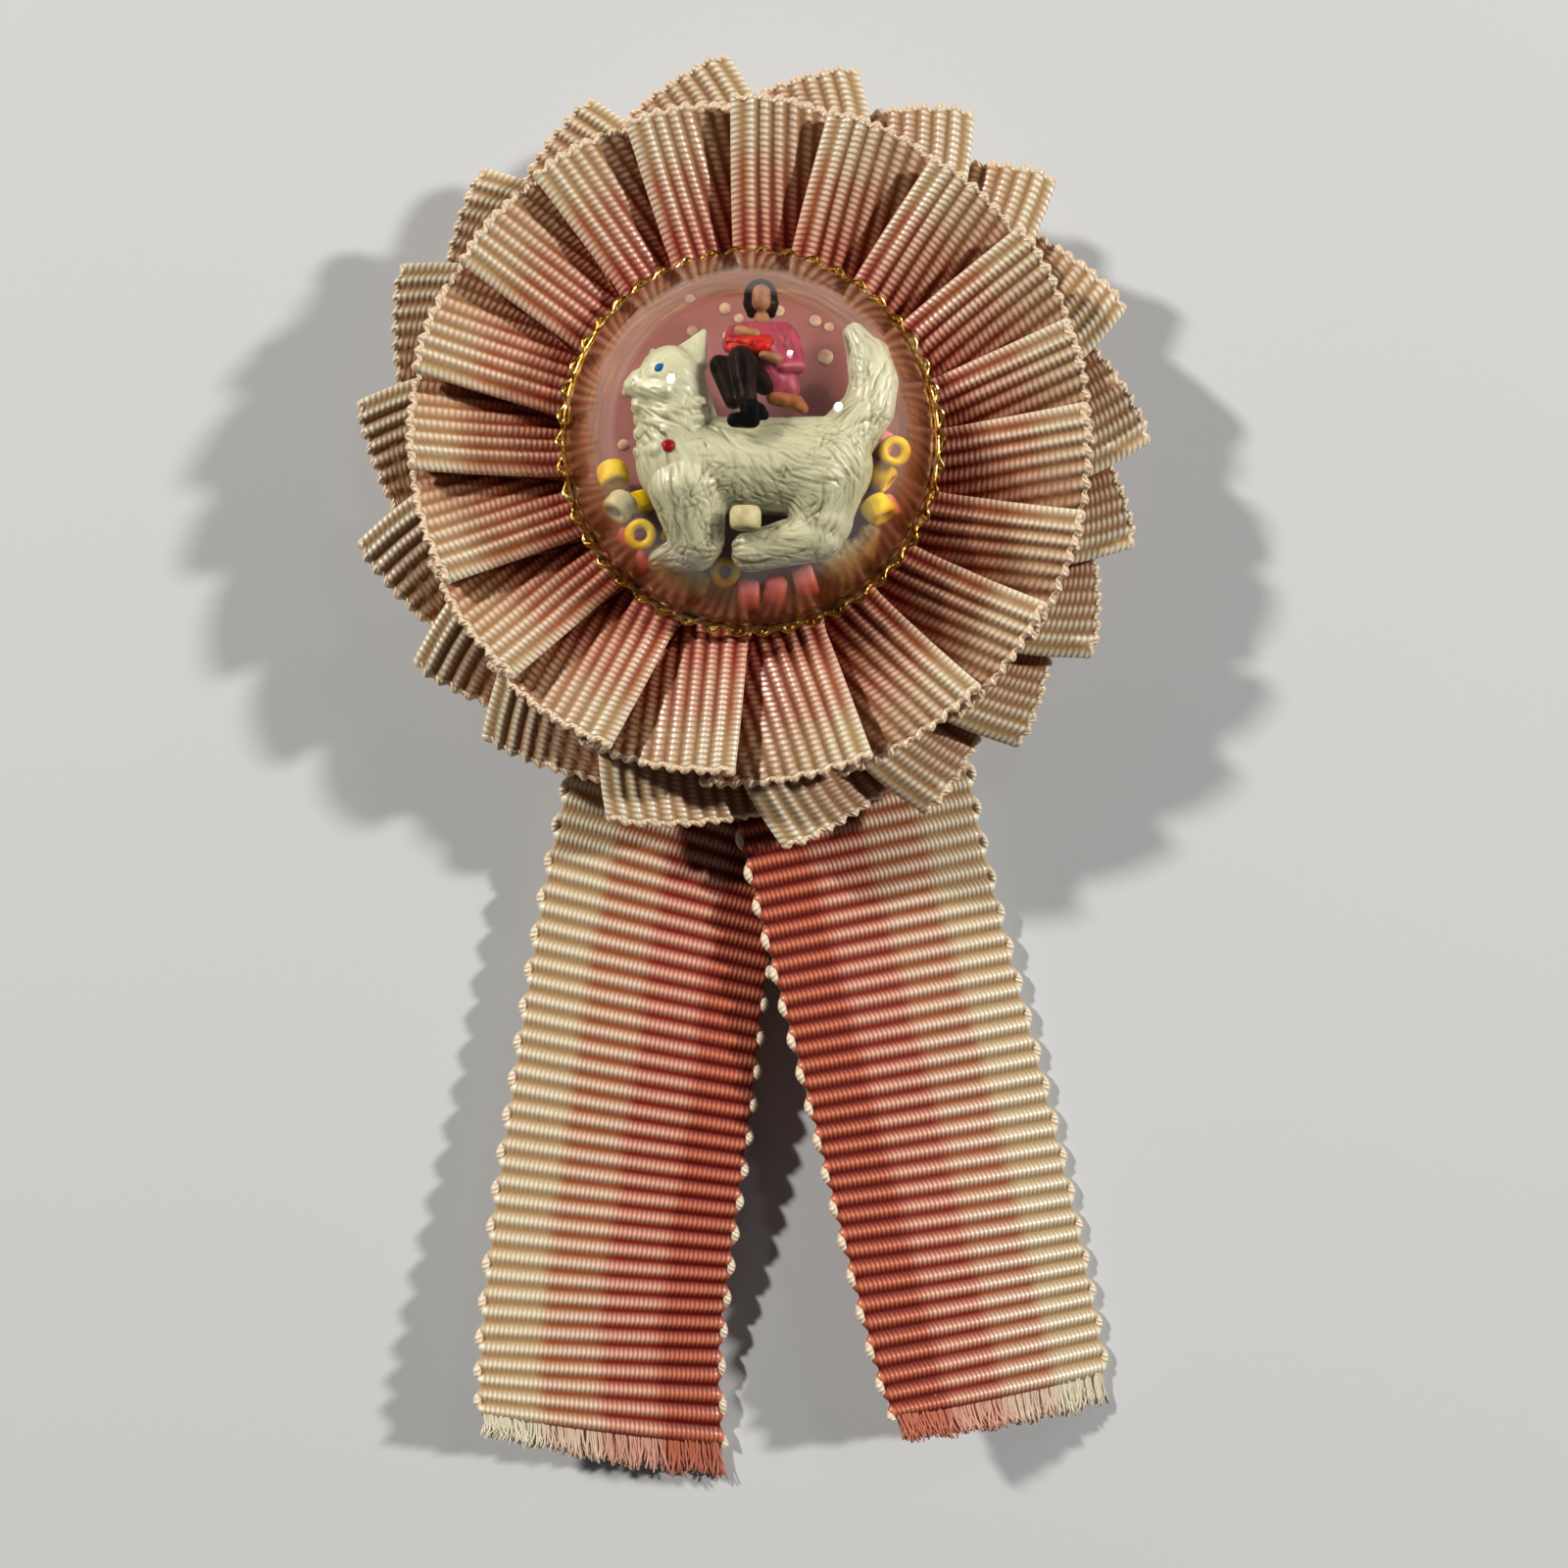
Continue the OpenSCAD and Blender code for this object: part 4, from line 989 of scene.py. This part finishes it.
# how the fur lies: x, y, and its direction there; a place takes the mean of the near ones
furFlow = np.array([
    [-5.4, -2.4, 0.35, -1], [-5, -4.5, 0.15, -1], [-7.5, -3.2, 0.2, -1], [-4.5, -8, 0.05, -1],
    [-2, -2, 0.6, -1], [0.5, -4.5, 0.5, -1], [0.5, -1.2, 1, -0.5], [3, -1.5, 1, -0.35], [4.5, -4, 1, -0.35],
    [7.5, -3, 0.8, -0.7], [8.5, -5.5, 0.3, -1], [6.5, -7, -0.4, -1], [2.5, -6, 0.9, -0.6], [3, -9, -1, 0.1],
    [-0.5, -9.5, -1, 0], [7.5, 0.5, 0.8, 0.8], [9.8, 2.5, 0.35, 1], [9.6, 5.5, -0.3, 1], [8.3, 7, -0.5, 1],
    [-6.3, 1.2, 1, -0.3], [-6.3, -0.3, 0.9, -0.35], [-8, 1.4, 1, -0.2], [-5, 3.5, 0.9, -0.5],
    [-6.8, 4.5, 0.6, 0.7], [-8.2, -5, 0.3, -1], [-6.5, -10, -1, -0.3]])
count = cat["strokes"]
pick = rng.choice(len(catPoints), count, replace=False)
root = catPoints[pick]
flat = (root - onCard)[:, None, :2] - furFlow[None, :, :2]
weight = 1 / (0.3 + (flat**2).sum(-1)) ** 2
flow = (weight[..., None] * unit(furFlow[None, :, 2:])).sum(1)
flow = np.concatenate([flow + rng.normal(0, cat["stray"], flow.shape), np.zeros((count, 1))], 1)
flow = unit(flow - (flow * normal[pick]).sum(-1, keepdims=True) * normal[pick])
sideways = np.cross(normal[pick], flow)
fur = np.zeros(len(catPoints))
deep = cat["furDeep"] * rng.uniform(0.4, 1.0, count)
wide = cat["furWide"] * rng.uniform(0.8, 1.3, count)
long = cat["furLong"] * rng.uniform(0.6, 1.3, count)
bend = rng.uniform(-1.2, 1.6, count)
onHead = (root[:, 1] - centre[1] > 1.6) & (root[:, 0] - centre[0] < -2)
deep[onHead] *= cat["headShare"]
# each groove is a bell curve along the fur and a narrower one across it, bent as a parabola. They
# are cut in batches from left to right, each into the points near it
order = np.argsort(root[:, 0])
for start in range(0, count, cat["batch"]):
    part = order[start:start + cat["batch"]]
    low, high = root[part, 0].min() - cat["near"], root[part, 0].max() + cat["near"]
    near = np.flatnonzero((catPoints[:, 0] > low) & (catPoints[:, 0] < high))
    away = catPoints[near, None] - root[None, part]
    onward = (away * flow[None, part]).sum(-1) / long[part]
    beside = (away * sideways[None, part]).sum(-1) + cat["bent"] * bend[part] * onward**2
    groove = np.exp(-onward**2 - (beside / wide[part]) ** 2) * deep[part]
    fur[near] -= np.where((away**2).sum(-1) > 5.7, 0, groove).sum(1)
fur = np.maximum(fur, -cat["deepest"])
catPoints = catPoints + normal * (fur + cat["raised"])[:, None]

# the ramp darkens the colour where the fur's grooves are deep: painted shade in the grooves. The mottle is a
# random tone
catColours = {"ramp": [(0.0, (176, 179, 153)), (0.45, (160, 161, 134)), (1.0, (116, 110, 78))],
         "mottle": (500.0, 3.0), "worn": 0.3, "wornTone": fromSrgb(224, 214, 190), "rough": (0.2, 0.28),
         "bumpNoise": (3000.0, 2.0), "bump": (0.35, 0.0001)}
catGlaze, tree, shader = newMaterial("catGlaze", {
    "Coat Weight": 0.4, "Coat Roughness": 0.16, "Subsurface Weight": 0.08, "Subsurface Scale": 0.001})
place = objectPlace(tree)
hollow = addNode(tree, "ShaderNodeAttribute", attribute_name="furDepth").outputs["Fac"]
tone = colourRamp(tree, hollow, catColours["ramp"])
mottle = noise(tree, place, *catColours["mottle"])
worn = calc(tree, "MULTIPLY", mottle, catColours["worn"])
feedAll(tree, shader, {
    "Base Color": mixColour(tree, worn, tone, catColours["wornTone"], "MULTIPLY"),
    "Roughness": scaled(tree, mottle, *catColours["rough"]),
    "Normal": bump(tree, noise(tree, place, *catColours["bumpNoise"]), *catColours["bump"])})
catPiece = makePiece("cat.figure", [(catPoints, catFaces, None)], catGlaze, ["cat"])
markPoints(catPiece, "furDepth", np.clip(-fur / cat["hollow"], 0, 1))


# a painted spot: a low dome that follows its base, set on a surface at a place from the card
def spot(x, y, z, rx, ry, tall, turned=0.0):
    profile = [[0, 1], [0.5, 0.87], [0.85, 0.5], [1, 0.1], [0.9, -0.5], [0, -0.6]]
    points, faces = lathe(profile, 20, np.zeros(2))
    return turnedPoints(points * [rx, ry, tall], turned) + onCard + [x, y, z], faces, None


bluePaint = paint("bluePaint", (14, 86, 142), (6, 44, 92), 0.25, 1500.0)
redPaint = paint("redPaint", (150, 14, 14), (96, 6, 8), 0.25, 1500.0)
makePiece("catEye", [spot(-6.5, 3.7, 7.5, 0.44, 0.34, 0.2, 20)], bluePaint)
makePiece("catChestDot", [spot(-5.9, -2.0, 7.28, 0.52, 0.48, 0.24)], redPaint)
print("cat made:", len(catPoints), "points")


# rider

# each piece: its paint, the skin's voxel and smoothing rounds, and its limbs
riderShapes = {
    "riderHair": ("hair", 0.09, 2, [
        ([0.9, 9.85, 4.7, 1.32], [0.9, 9.5, 4.6, 1.3]), ([-0.05, 9.3, 4.9, 0.42], [0.15, 8.5, 4.8, 0.3]),
        ([1.9, 9.3, 4.9, 0.42], [1.75, 8.5, 4.8, 0.3])]),
    "riderFace": ("skin", 0.09, 3, [
        ([0.95, 9.75, 5.46, 0.78], [0.95, 9.25, 5.44, 0.75]),
        ([0.95, 8.7, 4.9, 0.55], [1.0, 7.9, 4.8, 0.6])]),
    "riderTop": ("pink", 0.1, 2, [
        ([-0.3, 7.0, 4.7, 0.95], [2.6, 7.0, 4.7, 0.95]), ([1.1, 6.3, 4.8, 1.6], [1.9, 3.6, 4.9, 1.45]),
        ([2.2, 4.6, 4.9, 1.35], [3.0, 2.9, 4.7, 0.9]), ([1.5, 3.6, 5.2, 1.1], [1.9, 2.8, 5.0, 0.85]),
        ([3.1, 6.7, 4.8, 0.78], [3.75, 4.5, 5.2, 0.68]), ([3.75, 4.5, 5.2, 0.66], [2.5, 4.2, 6.2, 0.5]),
        ([-1.0, 7.0, 4.8, 0.78], [-1.3, 5.9, 5.9, 0.7]), ([-1.3, 5.9, 5.9, 0.66], [-0.6, 6.3, 6.4, 0.52])]),
    "riderHands": ("skin", 0.08, 3, [
        ([-0.7, 6.75, 6.6, 0.42], [0.5, 6.4, 6.9, 0.4]), ([1.2, 4.9, 6.8, 0.42], [2.3, 4.6, 6.4, 0.45])]),
    "riderCloth": ("red", 0.08, 2, [
        ([-1.35, 6.0, 6.5, 0.45], [0.3, 5.75, 6.9, 0.5]), ([0.2, 5.8, 6.9, 0.5], [1.55, 6.0, 6.7, 0.42]),
        ([-1.2, 5.4, 6.6, 0.42], [1.3, 5.4, 6.9, 0.45])]),
    "riderSeat": ("brown", 0.09, 3, [
        ([1.9, 2.1, 5.2, 0.6], [3.6, 1.8, 4.9, 0.6], [4.1, 1.4, 4.6, 0.45])]),
    "riderLeg": ("dark", 0.1, 2, [
        ([-2.1, 4.0, 7.0, 0.82], [-1.1, 1.3, 7.4, 0.68]), ([-0.5, 4.4, 7.3, 1.02], [-0.1, 1.3, 7.8, 0.82]),
        ([-1.9, 4.1, 6.7, 0.7], [0.0, 4.0, 6.9, 0.95]), ([0.2, 3.6, 6.4, 0.95], [1.2, 3.0, 5.6, 0.85])]),
    "riderBoot": ("black", 0.09, 3, [
        ([0.1, 0.8, 7.9, 0.75], [0.3, -0.2, 8.1, 0.65]), ([0.3, -0.3, 8.2, 0.65], [-1.0, -0.35, 8.3, 0.55]),
        ([0.8, 0.5, 7.9, 0.55], [1.2, 0.1, 7.9, 0.4])])}
riderPaints = {
    "hair": paint("hairPaint", (34, 16, 9), (14, 6, 3), 0.4, 1500.0, 0.0002, 0.1, 0.06),
    "skin": paint("skinPaint", (140, 98, 68), (116, 74, 48), 0.45, 900.0),
    "pink": paint("pinkPaint", (146, 58, 76), (122, 42, 58), 0.38, 800.0),
    "red": paint("clothPaint", (172, 26, 14), (120, 10, 5), 0.35, 1200.0, 0.0002),
    "brown": paint("seatPaint", (146, 88, 48), (96, 46, 22), 0.35, 900.0),
    "dark": paint("legPaint", (26, 13, 7), (6, 3, 2), 0.3, 700.0, 0.0002, 0.15, 0.06),
    "black": paint("bootPaint", (5, 4, 4), (2, 2, 2), 0.22, 900.0, 0.0001, 0.2, 0.04)}
for name, (colour, voxel, rounds, limbs) in riderShapes.items():
    points, faces = grownSkin(limbs, voxel, rounds)
    makePiece(name, [(points, faces, None)], riderPaints[colour], ["rider"])
print("rider made")


# plinths and beads

plaster = paint("plaster", (166, 158, 126), (134, 122, 88), 0.7, 900.0, 0.0003, 0.0)
lump = {"voxel": 0.16, "rounds": 2, "high": 0.06, "above": 0.03}
plinths = {
    "plinth_left": [([-6.6, -10.3, 1.2, 1.0], [-4.2, -11.5, 1.3, 1.15]),
                    ([-5.6, -11.2, 1.1, 1.0], [-4.0, -11.4, 1.6, 0.9])],
    "plinth_right": [([5.6, -9.2, 1.25, 1.2], [6.9, -10.5, 1.1, 1.05]),
                     ([8.7, -9.0, 1.1, 1.05], [9.3, -7.7, 1.0, 0.9]),
                     ([5.6, -9.2, 1.25, 1.2], [8.7, -9.0, 1.1, 1.05]),
                     ([6.9, -10.5, 1.1, 1.05], [8.7, -9.0, 1.1, 1.05])]}
for node, limbs in plinths.items():
    points, faces = grownSkin(limbs, lump["voxel"], lump["rounds"])
    x, y, z = (points - points.mean(0)).T
    lumps = np.sin(x * 5.1 + 1) * np.sin(y * 4.3) + np.sin(x * 9 + y * 8) * np.sin(z * 7 + 2)
    points = points + pointNormals(points, faces) * (lumps * lump["high"])[:, None]
    points[:, 2] = np.maximum(points[:, 2], cardTop + lump["above"])
    name = node.replace("_l", "L").replace("_r", "R")
    makePiece(name, [(points, faces, None)], plaster, [node])

# each bead: its place from the card, how it is tilted and turned, and its colour
beads = [
    [-10.6, -3.2, 2.2, 70, 20, "gold"], [-9.85, -5.85, 3.5, 60, -30, "ivory"],
    [-8.8, -5.3, 1.3, 90, 20, "gold"],
    [-9.1, -7.7, 1.35, 80, 60, "pink"], [-8.3, -8, 3.65, 15, 40, "gold"], [-7.6, -9.5, 1.25, 90, 10, "pink"],
    [-5.9, -7.4, 1.25, 90, 75, "gold"], [-0.2, -7.3, 6.8, 90, 0, "ivory"], [-1.9, -10.6, 1.1, 8, 0, "gold"],
    [-0.1, -12.3, 1.3, 90, 90, "pink"], [2, -12, 1.3, 90, 80, "pink"], [4.3, -11.3, 1.6, 85, 105, "pink"],
    [11.1, -1.6, 3.4, 12, 0, "gold"], [10.3, -3.2, 1.3, 80, 50, "gold"], [10.4, -5.7, 1.3, 80, 20, "pink"],
    [9.8, -6.1, 3.8, 75, 35, "gold"], [10.2, -0.6, 1.3, 75, 60, "pink"]]
bead = {"r": 1.19, "hole": 0.45, "long": 1.7, "power": 0.72, "round": 20, "sides": 32}
beadPaints = {
    "gold": paint("goldBead", (220, 190, 3), (198, 160, 1), 0.25, 900.0, 0.00008, 0.3, 0.1),
    "ivory": paint("ivoryBead", (180, 174, 134), (158, 150, 108), 0.28, 900.0, 0.00008, 0.3),
    "pink": paint("pinkBead", (226, 142, 152), (204, 112, 124), 0.25, 900.0, 0.00008, 0.5)}
# a seed bead's section is a flattened oval between its thread hole and its round side
s = np.arange(bead["round"]) * 2 * math.pi / bead["round"]
oval = np.stack([np.sign(wave) * np.abs(wave) ** bead["power"] for wave in (np.cos(s), np.sin(s))], -1)
section = oval * [(bead["r"] - bead["hole"]) / 2, bead["long"] / 2] + [(bead["r"] + bead["hole"]) / 2, 0]
beadPoints = turnedRings(section, bead["sides"])
beadFaces = gridQuads(bead["round"], bead["sides"], True, True)[:, ::-1].tolist()
for index, (x, y, z, tilt, turned, colour) in enumerate(beads):
    points = turnedPoints(turnedPoints(beadPoints, tilt, 1, 2), turned) + onCard + [x, y, z]
    node = "bead_%02d" % (index + 1)
    makePiece(node + ".round", [(points, beadFaces, None)], beadPaints[colour], [node])
print("beads made")


# back

felt = mottled("creamFelt", {"Roughness": 0.95, "Sheen Weight": 0.3}, {
    "noise": (2600.0, 4.0, 0.7), "ramp": [(0.3, (206, 192, 170)), (0.7, (240, 230, 212))],
    "bump": (0.8, 0.0003)})

# the pad is a disc with rounded rims. Its top steps up north of slotTop, above the tails, and its
# foot gives way to the pin's plate: half its length, half its width, and how far north it lies
pad = {"r": 16.4, "low": 5.0, "thin": 5.95, "high": 8.35, "slotTop": 23.4, "rim": 0.4, "sides": 180,
       "plate": (15.75, 2.75, 7), "plateDeep": 0.62, "wool": 0.04}
flatRings = np.linspace(0, pad["r"] - pad["rim"], 26)[1:]
rimRings = pad["r"] - pad["rim"] + pad["rim"] * np.sin(np.linspace(0, math.pi / 2, 5)[1:])
r = np.concatenate([flatRings, rimRings])[:, None]
a = np.arange(pad["sides"]) * 2 * math.pi / pad["sides"]
x, y = centre[0] + r * np.cos(a), centre[1] + r * np.sin(a)
beyond = np.maximum(r - pad["r"] + pad["rim"], 0)
edgeIn = pad["rim"] - np.sqrt(np.maximum(pad["rim"] ** 2 - beyond**2, 0))
plateLong, plateWide, plateUp = pad["plate"]
plate = smoothStep(plateLong - np.abs(x - centre[0]), -0.1, 0.25)
plate = plate * smoothStep(plateWide - np.abs(y - centre[1] - plateUp), -0.1, 0.25)
waves = pad["wool"] * np.sin(x * 3.1 + np.sin(y * 2.3)) * np.sin(y * 3.7 + np.sin(x * 1.9))
bottom = pad["low"] + pad["wool"] + edgeIn + pad["plateDeep"] * plate + waves * (1 - plate)
step = smoothStep(y, pad["slotTop"] - 0.2, pad["slotTop"] + 0.5)
top = pad["thin"] + (pad["high"] - pad["thin"]) * step - edgeIn
rows = np.concatenate([np.stack([x, y, bottom], -1), np.stack([x, y, top], -1)[::-1]])
poles = np.array([[*centre, pad["low"] + pad["wool"]], [*centre, pad["high"]]])
n, sides = len(rows), pad["sides"]
faces = gridQuads(n, sides, False, True).tolist() + fan(n * sides, 0, sides)
faces += fan(n * sides + 1, (n - 1) * sides, sides, True)
padPart = (np.concatenate([rows.reshape(-1, 3), poles]), faces, None)
feltPad = makePiece("feltPad", [padPart], felt, ["backing"])

steel = mottled("pinSteel", {"Metallic": 1.0}, {
    "stretch": (400, 6000, 6000), "noise": (1.0, 2.0),
    "ramp": [(0.3, (168, 168, 170)), (0.7, (206, 206, 208))], "rough": (0.25, 0.2), "bump": (0.2, 0.00005)})
finishNode("brooch_pin", steel)
print("back made")
